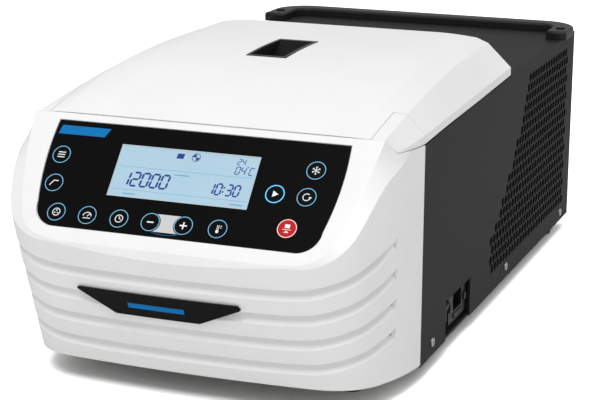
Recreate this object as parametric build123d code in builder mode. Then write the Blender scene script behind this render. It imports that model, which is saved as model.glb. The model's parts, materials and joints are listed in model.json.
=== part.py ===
"""Refrigerated microcentrifuge: white front casing and lid on a dark sheet-metal body.

Millimetres, +Z up, floor at Z = 0, X across, the operator stands at -Y.
Lengths along Y are given rearward from the joint between casing and body.
"""
from build123d import *
import os
from math import asin, cos, pi, radians, sin, sqrt, tan

os.makedirs("parts", exist_ok=True)

# Overall body
body_width = 300.0
body_rear = 494.0
rail_overhang = 3.0
body_bottom = 12.6
body_top = 197.7
sheet = 1.5
gap = 1.2
snug = 0.3

# White shell: plan outline at the sill, and how it leans
wall = 3.0
sill_front = 22.0
sill_rear = 14.4
side_radius = 200.0
side_turn = 19.9
corner_radius = 45.0
corner_end = 84.5
lean = 0.376
nose_height = 117.0
blend_height = 50.0
shell_top = 222.0

# Panel plane
panel_slope = 48.4
panel_back = 70.0
panel_height = 199.25
rim_bottom = 100.0

# Lid
lid_rear = 246.9
lid_crown = 230.0
lid_front = -64.4
lid_wall = 3.0
lid_clear = 9.0

# Louvre grooves
groove_count = 4
groove_front = 103.5
groove_front_pitch = 20.8
groove_tip = 131.4
groove_tip_pitch = 23.9
groove_depth = 6.0
groove_height = 8.4
groove_tip_back = 60.0
groove_tip_step = 2.75
groove_ease = 16.0
groove_lip = 0.6
groove_overshoot = 3.0

# Parting line of the lid at its front corners
lid_corner_back = -52.7
lid_corner_height = 192.2
lid_lip_height = 203.9

# Seam round the lid's corner caps
cap_seam = 0.3
cap_inner = 129.0
cap_bend_back = -12.0
cap_corner = 136.6
cap_corner_back = -5.0
cap_seam_depth = 0.8

# Lid form: skin, facet and side edge along its length
lid_base = 184.0
lid_sections = 12
lid_front_height = 204.4
skin_flat = 85.0
skin_edge = 118.8
skin_reach = 214.0
skin_power = 2.8
skin_bulge = 4.0
brow_front_fall = 0.7
brow_fall_rate = 0.0055
facet_crown = 223.6
facet_front_height = 202.6
facet_front_half = 138.9
facet_taper = 0.0315
facet_reach = 230.0
facet_power = 1.6
side_edge_height = 195.2
side_edge_rise = 0.0345
side_tuck = 6.0
side_tuck_power = 2.2

# Overlay on the panel (x, down the panel)
overlay_half = 116.5
overlay_top = 0.4
overlay_bottom = 88.0
overlay_low_half = 112.0
overlay_low = 70.0
overlay_corner = 16.0
overlay_thick = 1.0
recess_depth = 1.2
recess_border = 0.6

# Display window (x, down the panel)
screen_left = -59.5
screen_right = 51.5
screen_top = 16.0
screen_bottom = 59.0
screen_sunk = 0.3

# Keys (name, x, down the panel)
keys = [
    ("key_setup", -105.9, 29.7),
    ("key_line", -104.3, 53.5),
    ("key_rotor", -94.6, 77.0),
    ("key_speed", -69.2, 77.0),
    ("key_time", -43.5, 77.0),
    ("key_minus", -18.4, 77.0),
    ("key_plus", 7.7, 77.0),
    ("key_cold", 34.3, 76.5),
    ("key_chill", 95.4, 22.6),
    ("key_short", 93.7, 44.4),
    ("key_start", 69.6, 44.4),
    ("key_stop", 85.6, 70.3),
]
key_radius = 7.4
key_proud = 0.15
key_length = 5.6
key_cap = 1.8
key_stem = 4.0
key_clearance = 0.2

# Display board behind the panel
board_depth = 8.0
board_thick = 1.6
dome_radius = 3.0
dome_height = 1.8
board_post_radius = 3.5
board_post_spots = [(-88, -62), (88, -58), (-80, -22), (80, -24), (21, -66), (-32, -66)]
display_board_width = 232.0
display_board_tall = 74.0
display_board_down = 49.0
display_board_notch = 14.0

# Badge on the front (x, height)
badge_left = -79.6
badge_right = 54.4
badge_top = 88.3
badge_bottom = 69.5
badge_thick = 2.2
badge_tip = 3.4
badge_slant_left = 32.5
badge_slant_right = 34.0

# Bodywork sheets
pan_sheet = 2.0
pan_flange = 20.0
seam = 0.6
top_cover_front = 248.6
lid_low = [(0, 188.7), (64, 191.3), (149, 193.6), (247, 197.0)]
notch_front = 67.0
notch_rear = 137.0
notch_top = 46.0

# Vents in the side covers
vent_radius = 4.7
vent_pitch = 10.0
vent_row = 8.7
vent_low = 34.0
vent_high = 185.0
vent_front = 197.0
vent_rear = 465.0
vent_curve_start = 60.0
rear_vent_low = 60.0
rear_vent_rows = 11
rear_vent_half = 5

# Feet
foot_radius = 12.0
foot_front = -28.0
foot_front_half = 104.0
foot_rear = 456.0
foot_rear_half = 132.0

# Rear rail
rail_width = 20.0
rail_height = 8.3
rail_side = 5.0
rail_front = 435.0
rail_outer_corner = 35.0
rail_inner_corner = 15.0
rail_bolt_back = 453.0
rail_bolt_half = 145.0
bolt_head = 4.2
bolt_head_height = 1.6

# Screws
screw_head = 3.6
screw_head_height = 1.4
screw_shank = 1.9
screw_hole = 2.1
screw_length = 10.0
side_screw_spots = [(30.2, 23.7), (251.8, 23.4), (460.5, 21.3)]

rear_screw_spots = [(-134, 24), (0, 24), (134, 24), (-134, 180), (134, 180)]
hinge_screw_half = 13.0
hinge_screw_behind = 15.0

# Chamber, under the lid
chamber_back = 95.0
chamber_radius = 100.0
chamber_floor = 85.0
chamber_corner = 12.0
bowl_wall = 1.5
bowl_lip = 8.0
deck_top = 186.0
deck_sheet = 2.0
deck_front = -63.0
deck_half = 144.0
deck_flange = 12.0
deck_shoulder = 138.0
deck_shoulder_back = -40.0
bridge_fronts = [(20, 60), (180, 236)]
gasket_height = 3.0
gasket_width = 6.0
seal_gap = 0.3
evaporator_wall = 2.5
evaporator_low = 92.0
evaporator_high = 176.0
foam_half = 130.0
foam_front = -31.0
foam_rear = 224.0
foam_bottom = 78.0
shaft_hole = 12.0

# Rotor and drive
rotor_edge = 87.0
rotor_base = 72.0
rotor_rim = 62.0
rotor_height = 47.0
rotor_dish = 36.0
rotor_dish_height = 25.0
hub_radius = 20.0
hub_height = 38.0
nut_radius = 15.0
nut_height = 20.0
rotor_bottom = 95.0
rotor_places = 24
pocket_radius = 5.6
pocket_depth = 38.0
pocket_mouth_radius = 50.0
pocket_mouth_height = 37.0
shaft_radius = 5.0
running_fit = 0.05
motor_radius = 54.0
motor_height = 43.9
mount_plate = 3.0
mount_height = 15.0
mount_radius = 9.0
mount_spread = 60.0

# Cooling
compressor_x = -70.0
compressor_back = 394.0
compressor_radius = 56.0
compressor_height = 144.0
compressor_mount = 10.0
compressor_spread = 45.0
terminal_half = 20.0
terminal_low = 90.0
terminal_high = 130.0
terminal_depth = 16.0
condenser_inner = 118.0
condenser_outer = 142.0
condenser_front = 300.0
condenser_rear = 470.0
condenser_low = 30.0
condenser_high = 180.0
fin_pitch = 4.0
fin_thick = 0.8
tube_rows = 6
tube_row_pitch = 25.0
tube_column_pitch = 12.0
end_sheet = 2.0
fan_radius = 66.0
fan_back = 385.0
fan_height = 105.0
fan_depth = 20.0
fan_hub = 18.0
fan_blade_count = 7
fan_blade_chord = 30.0
fan_blade_thick = 2.0
fan_blade_tilt = 35.0
fan_tip_gap = 4.0
shroud_ring = 3.0
shroud_sheet = 2.0
shroud_gap = 8.0
fan_motor_radius = 20.0
fan_motor_length = 22.0
fan_arm = 6.0
fan_arm_gap = 2.0
fan_spindle = 3.0
pipe_radius = 4.0
pipe_bend = 12.0
pipe_lane = 284.0
pipe_front_lane = 258.0
suction_height = 160.0
suction_drop = 140.0
feed_height = 105.0
feed_x = -34.0
discharge_height = 186.0
discharge_x = 10.0
drier_radius = 9.0
drier_length = 50.0
drier_x = 20.0

# Main board, and the parts on it (x, height, width, tall, deep)
board_back = -60.0
board_half = 80.0
board_low = 32.0
board_high = 108.0
board_sheet = 1.6
board_parts = [(-62, 46, 32, 28, 24), (-62, 84, 26, 20, 14), (50, 42, 22, 14, 16),
               (50, 66, 22, 14, 16), (50, 90, 22, 14, 16), (0, 92, 40, 14, 3)]
capacitor_spots = [(-24, 50), (-2, 50), (20, 50)]
capacitor_radius = 9.0
capacitor_length = 20.0
cooler_left = -27.0
cooler_height = 74.0
cooler_fins = 6
cooler_pitch = 7.0
cooler_depth = 18.0
bracket_width = 10.0
bracket_sheet = 2.0

# Lid hinges
hinge_x = 85.0
hinge_half = 20.0
hinge_knuckle = 5.5
hinge_pin = 3.0
hinge_behind = 6.1
hinge_above = 6.0
leaf_thick = 2.5
leaf_top = 18.3
leaf_length = 22.0
middle_half = 6.5
knuckle_gap = 0.3

# Latch
latch_back = -46.0
striker_radius = 2.5
striker_drop = 14.0
striker_half = 12.0
latch_slot = 24.0
latch_half = 22.0
latch_wall = 2.0
latch_depth = 34.0
latch_front = -66.0
latch_rear = -38.0
hook_pivot_back = -54.0
hook_pivot_drop = 28.0
hook_pin = 2.0
hook_half = 4.0
hook_eye = 6.0
hook_arm = 4.0
hook_nose = 4.0
hook_clearance = 2.5
hook_release = 35.0
latch_slot_side = 7.0
solenoid_half = 14.0
solenoid_height = 26.0

# Lid liner
liner_sheet = 2.5
liner_half = 138.0
liner_front = -50.0
liner_rear = 243.0

# Window in the lid
window_left = -22.0
window_right = 12.0
window_front = 67.0
window_rear = 141.0
glass_left = -17.0
glass_right = 6.0
glass_front = 76.0
glass_rear = 110.0
glass_height = 217.0
glass_thick = 2.0
window_border = 2.0
window_proud = 0.4
glass_ledge = 1.5

# Mains inlet, switch and fuse
inlet_back = 110.4
inlet_height = 32.2
inlet_flange_half = 24.6
inlet_flange_high = 13.4
inlet_flange = 2.5
inlet_body_half = 14.0
inlet_body_depth = 22.0
inlet_screw_half = 20.0
socket_half = 12.0
socket_low = 27.5
socket_high = 43.5
socket_depth = 15.5
pin_length = 10.5
fuse_half = 11.0
fuse_low = 20.5
fuse_high = 25.5
fuse_depth = 16.0
tray_depth = 6.0
tray_sheet = 1.5
rocker_back = 77.0
rocker_half = 6.3
rocker_radius = 9.2
rocker_tilt = 10.0
rocker_gap = 0.2
rocker_housing = 1.5
rocker_depth = 16.0
pivot_radius = 1.5

# Derived positions of the shell
half_width = body_width / 2
side_start = half_width - side_radius
turn = radians(side_turn)
front_end = radians(corner_end)
corner_x = side_start + (side_radius - corner_radius) * cos(turn)
corner_y = -(side_radius - corner_radius) * sin(turn)
front_radius = corner_radius + corner_x / cos(front_end)
front_y = corner_y + (front_radius - corner_radius) * sin(front_end)
nose_reach = front_radius - front_y + lean * (nose_height - sill_front)
joint_y = (nose_reach - body_rear - rail_overhang) / 2
slope = radians(panel_slope)

# Wide chamfer round the panel: upper crease (x, down the panel), lower crease (x, back, height)
chamfer_creases = [
    ((141.5, -80), (153.0, 40, 190.0)),
    ((141.5, -40), (152.0, -8, 188.0)),
    ((140.5, -6), (150.8, -46, 184.5)),
    ((137.9, 13), (149.7, -73, 176.5)),
    ((134.7, 31.6), (146.3, -94, 164.0)),
    ((130.8, 50), (140.6, -108, 151.0)),
    ((126.2, 68), (133.0, -120, 138.6)),
    ((120.0, 84.5), (125.2, -129, 127.5)),
    ((109.5, 94.5), (112, -134.4, 121.0)),
    ((95, 98.7), (95.8, -137.0, 118.2)),
    ((75, rim_bottom), (75.2, -138.0, nose_height)),
    ((35, rim_bottom), (35, -138.5, nose_height)),
    ((0, rim_bottom), (0, -nose_reach, nose_height)),
]


def shell_point(angle, inset=0.0):
    """Plan point of the shell at the sill, where its normal points `angle` forward of +X."""
    if angle > pi / 2:
        x, y = shell_point(pi - angle, inset)
        return -x, y
    if angle <= turn:
        radius = side_radius - inset
        return side_start + radius * cos(angle), joint_y - radius * sin(angle)
    if angle <= front_end:
        radius = corner_radius - inset
        return corner_x + radius * cos(angle), joint_y + corner_y - radius * sin(angle)
    radius = front_radius - inset
    return radius * cos(angle), joint_y + front_y - radius * sin(angle)


def shell_slide(height):
    """How far forward the plan outline has slid at a height."""
    low = min(height, nose_height)
    slide = lean * (low - sill_front)
    if height > nose_height:
        rise = min(height - nose_height, blend_height)
        slide += lean * (rise - rise * rise / (2 * blend_height))
    return slide


def shell_sketch(height, inset, back):
    """Plan section of the shell: bowed front, corner arcs, side arcs and flat sides."""
    slide = shell_slide(height)
    angles = [0, turn / 2, turn, (turn + front_end) / 2, front_end, pi / 2]
    angles += [pi - angle for angle in reversed(angles[:-1])]
    points = [(x, y - slide) for x, y in (shell_point(angle, inset) for angle in angles)]
    with BuildSketch(Plane.XY.offset(height)) as section:
        with BuildLine():
            ThreePointArc(points[0], points[1], points[2])
            ThreePointArc(points[2], points[3], points[4])
            ThreePointArc(points[4], points[5], points[6])
            ThreePointArc(points[6], points[7], points[8])
            ThreePointArc(points[8], points[9], points[10])
            Polyline(points[10], (points[10][0], joint_y + back), (points[0][0], joint_y + back), points[0])
        make_face()
    return section.sketch


def shell_solid(bottom, inset, back):
    """The whole form that leans forward up to the nose and eases upright above it."""
    with BuildPart() as form:
        add([shell_sketch(bottom, inset, back), shell_sketch(nose_height, inset, back)])
        loft(ruled=True)
    with BuildPart() as upper:
        levels = [nose_height + blend_height * share for share in (0, 1 / 3, 2 / 3, 1)]
        add([shell_sketch(level, inset, back) for level in levels])
        loft()
    with BuildPart() as top:
        add(shell_sketch(nose_height + blend_height, inset, back))
        extrude(amount=shell_top - nose_height - blend_height)
    with BuildPart() as whole:
        add(form.part)
        add(upper.part)
        add(top.part)
    return whole.part


def at(x, back, height):
    """A point given by its distance rearward from the casing joint."""
    return (x, joint_y + back, height)


def block(low, high, mode=Mode.ADD):
    """A box between two opposite corners, in the part being built."""
    size = [b - a for a, b in zip(low, high)]
    middle = [(a + b) / 2 for a, b in zip(low, high)]
    with Locations(tuple(middle)):
        Box(*size, mode=mode)


def save(name, part):
    """Label one finished piece and write its file."""
    part.label = name
    export_step(part, f"parts/{name}.step")


def panel_point(x, down, depth=0.0):
    """A point on the panel plane, `down` its slope and `depth` behind it."""
    back = -panel_back - down * cos(slope) + depth * sin(slope)
    return Vector(*at(x, back, panel_height - down * sin(slope) - depth * cos(slope)))


def panel_plane(depth=0.0):
    """The panel plane: its X runs right, its Y runs up the slope, its normal points out."""
    return Plane(origin=panel_point(0, 0, depth), x_dir=(1, 0, 0), z_dir=(0, -sin(slope), cos(slope)))


side_plane = Plane(origin=at(0, 0, 0), x_dir=(0, 1, 0), z_dir=(1, 0, 0))
rear_plane = Plane(origin=at(0, 0, 0), x_dir=(1, 0, 0), z_dir=(0, 1, 0))
front_plane = Plane(origin=at(0, 0, 0), x_dir=(1, 0, 0), z_dir=(0, -1, 0))


def prism_along_x(points, start, end):
    """A solid with a (back, height) profile between two places along X."""
    with BuildPart() as prism:
        with BuildSketch(side_plane.offset(start)):
            with BuildLine():
                Polyline(*points, close=True)
            make_face()
        extrude(amount=end - start)
    return prism.part


def chamfer_cutter(inset):
    """Everything outside the wide chamfer round the panel, moved inward by `inset`."""
    right = []
    for (x, down), lower in chamfer_creases:
        right.append((panel_point(x, down), Vector(*at(*lower))))
    left = [(Vector(-a.X, a.Y, a.Z), Vector(-b.X, b.Y, b.Z)) for a, b in right[:-1]]
    pairs = left + right[::-1]
    last = len(pairs) - 1
    with BuildPart() as cutter:
        for index, (upper, lower) in enumerate(pairs):
            along = pairs[min(index + 1, last)][0] - pairs[max(index - 1, 0)][0]
            down = (lower - upper).normalized()
            outward = along.cross(down).normalized()
            if outward.Z < 0:
                outward = -outward
            start = upper - outward * inset
            section = Plane(origin=start, x_dir=down, z_dir=down.cross(outward))
            length = (lower - upper).length
            with BuildSketch(section):
                with BuildLine():
                    Polyline((-9, 0), (length + 12, 0), (length / 2, 55), close=True)
                make_face()
        loft()
    return cutter.part


def above_sill():
    """The slanting plane of the casing's bottom edge."""
    rise = sill_front - sill_rear
    reach = front_radius - front_y
    return Plane(origin=at(0, 0, sill_rear), x_dir=(1, 0, 0), z_dir=(0, rise, reach))


def gap_profile(shift):
    """Parting line between lid and casing, (back, height), moved down and forward by `shift`."""
    return [
        (lid_front - 1.414 * shift, 230),
        (lid_front - 1.414 * shift, lid_lip_height),
        (lid_corner_back - 1.414 * shift, lid_corner_height),
        (lid_low[0][0], lid_low[0][1] - shift),
    ]


def shell_form(inset, bottom, back):
    """The casing's outer form, or its hollow when inset by the wall."""
    with BuildPart() as form:
        add(shell_solid(bottom, inset, back))
        add(chamfer_cutter(inset), mode=Mode.SUBTRACT)
        split(bisect_by=panel_plane(inset), keep=Keep.BOTTOM)
    return form.part


def groove_rise(angle):
    """Length along the shell from its corner toward the side, eased to nothing at the front."""
    if angle >= front_end:
        run = -front_radius * (angle - front_end)
    elif angle >= turn:
        run = corner_radius * (front_end - angle)
    else:
        run = corner_radius * (front_end - turn) + side_radius * (turn - angle)
    return (run + sqrt(run * run + groove_ease * groove_ease)) / 2


def groove_body(index, grow):
    """One louvre groove, or the thicker wall behind it when grown."""
    front_edge = groove_front - groove_front_pitch * index
    tip_edge = groove_tip - groove_tip_pitch * index
    tip_back = groove_tip_back - groove_tip_step * index
    tip_plan = tip_back - shell_slide(tip_edge) + grow
    tip_angle = asin(tip_plan / side_radius)
    lowest = groove_rise(pi / 2)
    highest = groove_rise(tip_angle)
    angles = [tip_angle, (tip_angle + turn) / 2, turn]
    angles += [turn + (front_end - turn) * share for share in (0.25, 0.5, 0.75, 1)]
    angles += [front_end + (pi / 2 - front_end) * share for share in (0.3, 0.65, 1)]
    angles += [pi - angle for angle in reversed(angles[:-1])]
    with BuildPart() as groove:
        for angle in angles:
            right = min(angle, pi - angle)
            share = (groove_rise(right) - lowest) / (highest - lowest)
            top = front_edge + (tip_edge - front_edge) * share
            x, y = shell_point(angle)
            outward = Vector(cos(angle), -sin(angle), 0)
            start = Vector(x, y - shell_slide(top), top)
            recede = lean * sin(right) * groove_height
            reach = groove_depth - recede
            section = Plane(origin=start, x_dir=outward, z_dir=outward.cross(Vector(0, 0, 1)))
            inner_top = (-groove_depth - grow, groove_lip + grow)
            outer_top = (groove_overshoot, groove_lip + grow)
            low_x = -recede + 0.35 * reach - 0.8 * grow
            outer_low = (low_x, -groove_height - 0.35 * (groove_height + groove_lip) - grow)
            inner_low = (-groove_depth - grow, -0.2 - 0.6 * grow)
            with BuildSketch(section):
                with BuildLine():
                    Polyline(inner_top, outer_top, outer_low, inner_low, close=True)
                make_face()
        loft()
    return groove.part


def side_screw_bores():
    """Cutter for the side screws' holes, right through the body."""
    with BuildPart() as bores:
        with BuildSketch(side_plane.offset(-half_width - 1)):
            with Locations(*side_screw_spots):
                Circle(screw_hole)
        extrude(amount=body_width + 2)
    return bores.part


def cover_profile():
    """Side cover outline, (back, height): its top edge follows the lid, then the body top."""
    under_lid = [(max(back, seam), height - gap) for back, height in lid_low]
    top = [(top_cover_front - 0.1, body_top), (body_rear, body_top)]
    return [(seam, body_bottom), *under_lid, *top, (body_rear, body_bottom)]


def vent_spots():
    """Centres of the hexagon vents, (back, height), in staggered rows with a curved front edge."""
    spots = []
    rows = int((vent_high - vent_low) / vent_row)
    columns = int((vent_rear - vent_front) / vent_pitch)
    for row in range(rows + 1):
        height = vent_low + row * vent_row
        climb = max(height - vent_curve_start, 0)
        front = vent_front + 1.5 * climb - 0.0047 * climb * climb
        for column in range(columns + 1):
            back = vent_rear - column * vent_pitch - (row % 2) * vent_pitch / 2
            if back >= front:
                spots.append((back, height))
    return spots


def eased(back, reach, power):
    """1 at the lid's front edge, falling smoothly to 0 at `reach` behind it."""
    share = min(max((back - lid_front) / reach, 0), 1)
    return (1 - share) ** power


def lid_section(back, inset, lift):
    """Half outline of the lid at one place, (x, height), from its bottom to its flat middle."""
    drop = inset - lift
    length = (back - lid_front) / (lid_rear - lid_front)
    arch = lid_crown - (lid_crown - lid_front_height) * eased(back, skin_reach, skin_power)
    brow = arch - brow_front_fall - brow_fall_rate * (back - lid_front)
    middle = arch + skin_bulge * sin(pi * length)
    facet_x = facet_front_half - facet_taper * (back - lid_front)
    facet_z = facet_crown - (facet_crown - facet_front_height) * eased(back, facet_reach, facet_power)
    side_x = half_width - side_tuck * (max(-back, 0) / -lid_front) ** side_tuck_power
    side_z = side_edge_height + side_edge_rise * back
    return [
        (side_x - inset, lid_base),
        (side_x - inset, side_z - 0.5 * drop),
        (facet_x - 0.6 * inset, facet_z - drop),
        (skin_edge, brow - drop),
        ((skin_flat + skin_edge) / 2, middle - drop - 0.3 * (middle - brow)),
        (skin_flat, middle - drop),
    ]


def lid_form(inset, lift=0.0):
    """The lid's outer form, or its hollow when inset by the wall; `lift` raises it."""
    with BuildPart() as form:
        for index in range(lid_sections + 1):
            back = lid_front + (lid_rear - lid_front) * index / lid_sections
            base, side, facet, brow, halfway, flat = lid_section(back, inset, lift)
            other = [(-x, z) for x, z in (flat, halfway, brow, facet, side, base)]
            plane = Plane(origin=at(0, back, 0), x_dir=(1, 0, 0), z_dir=(0, -1, 0))
            with BuildSketch(plane):
                with BuildLine():
                    Polyline(base, side, facet, brow)
                    ThreePointArc(brow, halfway, flat)
                    Line(flat, other[0])
                    ThreePointArc(other[0], other[1], other[2])
                    Polyline(other[2], other[3], other[4], other[5], base)
                make_face()
        loft()
        block(at(-half_width + inset, lid_front, lid_base),
              at(half_width - inset, lid_rear, lid_crown + lid_clear), Mode.INTERSECT)
    return form.part


# Base pan: floor sheet with an upturned flange all round, open at the mains inlet
floor_top = body_bottom + pan_sheet
pan_rear = body_rear - sheet
pan_half = half_width - sheet
with BuildPart() as base_pan:
    extrude(shell_sketch(body_bottom, wall, 2 * seam), amount=pan_sheet + pan_flange)
    block(at(-pan_half, seam, body_bottom), at(pan_half, pan_rear, floor_top + pan_flange))
    extrude(shell_sketch(floor_top, wall + pan_sheet, 5 * seam), amount=pan_flange + 1, mode=Mode.SUBTRACT)
    block(at(-pan_half + pan_sheet, 2 * seam, floor_top),
          at(pan_half - pan_sheet, pan_rear - pan_sheet, floor_top + pan_flange + 1), Mode.SUBTRACT)
    block(at(pan_half - pan_sheet - 1, notch_front - sheet, floor_top),
          at(half_width, notch_rear + sheet, floor_top + pan_flange + 1), Mode.SUBTRACT)
    add(side_screw_bores(), mode=Mode.SUBTRACT)
    with BuildSketch(front_plane.offset(-pan_rear)):
        with Locations(*rear_screw_spots):
            Circle(screw_hole)
    extrude(amount=2 * pan_sheet, mode=Mode.SUBTRACT)
save("base_pan", base_pan.part)

# Rubber feet, one group of four
foot_spots = [at(side * foot_front_half, foot_front, 0) for side in (-1, 1)]
foot_spots += [at(side * foot_rear_half, foot_rear, 0) for side in (-1, 1)]
with BuildPart() as feet:
    with Locations(*[(x, y, body_bottom / 2) for x, y, z in foot_spots]):
        Cone(foot_radius - 2, foot_radius, body_bottom)
save("feet", feet.part)

# Cutters through the panel, shared by the casing and what sits in it
screen_x = (screen_left + screen_right) / 2
screen_y = -(screen_top + screen_bottom) / 2
screen_size = (screen_right - screen_left, screen_bottom - screen_top)
key_spots = [(x, -down) for name, x, down in keys]


def overlay_outline(border):
    """Overlay outline grown by a border: bowed sides and round lower corners."""
    top = -overlay_top + border
    low = -overlay_low
    bottom = -overlay_bottom - border
    half = overlay_half + border
    low_half = overlay_low_half + border
    corner = (low_half - 5.2, bottom + 5.2)
    end = (low_half - overlay_corner, bottom)
    with BuildSketch() as outline:
        with BuildLine():
            Line((-half, top), (half, top))
            ThreePointArc((half, top), (half + 0.5, (top + low) / 2), (low_half, low))
            ThreePointArc((low_half, low), corner, end)
            Line(end, (-end[0], bottom))
            ThreePointArc((-end[0], bottom), (-corner[0], corner[1]), (-low_half, low))
            ThreePointArc((-low_half, low), (-half - 0.5, (top + low) / 2), (-half, top))
        make_face()
    return outline.sketch


with BuildPart() as recess_cutter:
    with BuildSketch(panel_plane(recess_depth)):
        add(overlay_outline(recess_border))
    extrude(amount=recess_depth + 5)
with BuildPart() as panel_bores:
    with BuildSketch(panel_plane(-2)):
        with Locations((screen_x, screen_y)):
            Rectangle(screen_size[0] + 2 * snug, screen_size[1] + 2 * snug)
        with Locations(*key_spots):
            Circle(key_radius + key_clearance)
    extrude(amount=-(wall + 12))
with BuildPart() as board_posts:
    with BuildSketch(panel_plane(wall - 0.5)):
        with Locations(*board_post_spots):
            Circle(board_post_radius)
    extrude(amount=-(board_depth - wall + 0.5))

# Front casing: outer form less its hollow, parted from the lid, with louvre grooves
with BuildPart() as casing_hollow:
    add(shell_form(wall, -20, 80))
    for index in range(groove_count):
        add(groove_body(index, wall), mode=Mode.SUBTRACT)
with BuildPart() as front_casing:
    add(shell_form(0, -8, 60))
    split(bisect_by=rear_plane, keep=Keep.BOTTOM)
    split(bisect_by=above_sill(), keep=Keep.TOP)
    add(prism_along_x([*gap_profile(gap), (10, lid_low[0][1] - gap), (10, lid_crown)],
                      -half_width - 1, half_width + 1), mode=Mode.SUBTRACT)
    add(casing_hollow.part, mode=Mode.SUBTRACT)
    for index in range(groove_count):
        add(groove_body(index, 0), mode=Mode.SUBTRACT)
    add(recess_cutter.part, mode=Mode.SUBTRACT)
    add(board_posts.part)
    add(panel_bores.part, mode=Mode.SUBTRACT)
save("front_casing", front_casing.part)

# Panel overlay with its window and key holes
with BuildPart() as panel_overlay:
    with BuildSketch(panel_plane(recess_depth)):
        add(overlay_outline(0))
        with Locations((screen_x, screen_y)):
            Rectangle(*screen_size, mode=Mode.SUBTRACT)
        with Locations(*key_spots):
            Circle(key_radius + key_clearance, mode=Mode.SUBTRACT)
    extrude(amount=overlay_thick)
save("panel_overlay", panel_overlay.part)

# Display screen, filling the overlay's window
with BuildPart() as display_screen:
    with BuildSketch(panel_plane(recess_depth - overlay_thick + screen_sunk)):
        with Locations((screen_x, screen_y)):
            Rectangle(*screen_size)
    extrude(amount=-(board_depth - recess_depth + overlay_thick - screen_sunk))
save("display_screen", display_screen.part)

# Display board behind the panel, with a dome switch under every key
with BuildPart() as display_board:
    with BuildSketch(panel_plane(board_depth)):
        with Locations((0, -display_board_down)):
            Rectangle(display_board_width, display_board_tall)
        low_corner = display_board_down + display_board_tall / 2 - 2
        with Locations((8 - display_board_width / 2, -low_corner), (display_board_width / 2 - 8, -low_corner)):
            Circle(display_board_notch, mode=Mode.SUBTRACT)
    extrude(amount=-board_thick)
    with BuildSketch(panel_plane(board_depth)):
        with Locations(*key_spots):
            Circle(dome_radius)
    extrude(amount=dome_height)
save("display_board", display_board.part)

# Twelve keys, each a cap on a short stem over its dome switch
for name, x, down in keys:
    with BuildPart() as key:
        with BuildSketch(panel_plane(-key_proud)):
            with Locations((x, -down)):
                Circle(key_radius)
        extrude(amount=-key_cap)
        with BuildSketch(panel_plane(key_cap - key_proud)):
            with Locations((x, -down)):
                Circle(key_stem)
        extrude(amount=-(key_length - key_cap))
    save(name, key.part)

# Badge that bridges the grooves on the bowed front
with BuildPart() as front_badge:
    with BuildSketch(front_plane.offset(nose_reach + 10)):
        with BuildLine():
            FilletPolyline((badge_left, badge_top), (badge_right - badge_tip + 1, badge_top),
                           (badge_right, badge_top - badge_tip),
                           (badge_right - badge_slant_right, badge_bottom),
                           (badge_left + badge_slant_left, badge_bottom),
                           (badge_left, badge_top), radius=1.2, close=True)
        make_face()
    extrude(amount=-nose_reach)
    add(shell_solid(-8, -badge_thick, 60), mode=Mode.INTERSECT)
    add(shell_solid(-8, 0, 60), mode=Mode.SUBTRACT)
save("front_badge", front_badge.part)

# Deck under the lid, with the round opening of the chamber and a slot for the striker
chamber_y = joint_y + chamber_back
chamber_section = Plane(origin=(0, chamber_y, 0), x_dir=(1, 0, 0), z_dir=(0, -1, 0))
chamber_axis = Axis((0, chamber_y, 0), (0, 0, 1))
deck_bottom = deck_top - deck_sheet
with BuildPart() as top_deck:
    block(at(-deck_shoulder, deck_front, deck_bottom), at(deck_shoulder, top_cover_front, deck_top))
    block(at(-deck_half, deck_shoulder_back, deck_bottom), at(deck_half, top_cover_front, deck_top))
    for front, rear in bridge_fronts:
        block(at(-pan_half, front, deck_bottom), at(pan_half, rear, deck_top))
    for side in (-1, 1):
        edges = sorted((side * deck_half, side * (deck_half - deck_sheet)))
        block(at(edges[0], deck_shoulder_back, deck_bottom - deck_flange),
              at(edges[1], top_cover_front, deck_top))
    with Locations((0, chamber_y, deck_top)):
        Cylinder(chamber_radius + bowl_wall + snug, 3 * deck_sheet, mode=Mode.SUBTRACT)
    with Locations(at(0, latch_back, deck_top)):
        Box(2 * (striker_half + latch_slot_side), latch_slot, 3 * deck_sheet, mode=Mode.SUBTRACT)
save("top_deck", top_deck.part)

# Chamber bowl: a drawn steel pot whose lip lies on the deck
bowl_top = deck_top + bowl_wall
bowl_outer = chamber_radius + bowl_wall
bowl_under = chamber_floor - bowl_wall
bowl_knee = chamber_corner + bowl_wall
with BuildPart() as chamber_bowl:
    with BuildSketch(chamber_section):
        with BuildLine():
            Line((shaft_hole, chamber_floor), (chamber_radius - chamber_corner, chamber_floor))
            RadiusArc((chamber_radius - chamber_corner, chamber_floor),
                      (chamber_radius, chamber_floor + chamber_corner), -chamber_corner)
            Polyline((chamber_radius, chamber_floor + chamber_corner), (chamber_radius, bowl_top),
                     (bowl_outer + bowl_lip, bowl_top), (bowl_outer + bowl_lip, deck_top),
                     (bowl_outer, deck_top), (bowl_outer, bowl_under + bowl_knee))
            RadiusArc((bowl_outer, bowl_under + bowl_knee), (bowl_outer - bowl_knee, bowl_under), bowl_knee)
            Polyline((bowl_outer - bowl_knee, bowl_under), (shaft_hole, bowl_under),
                     (shaft_hole, chamber_floor))
        make_face()
    revolve(axis=chamber_axis)
save("chamber_bowl", chamber_bowl.part)

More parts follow.
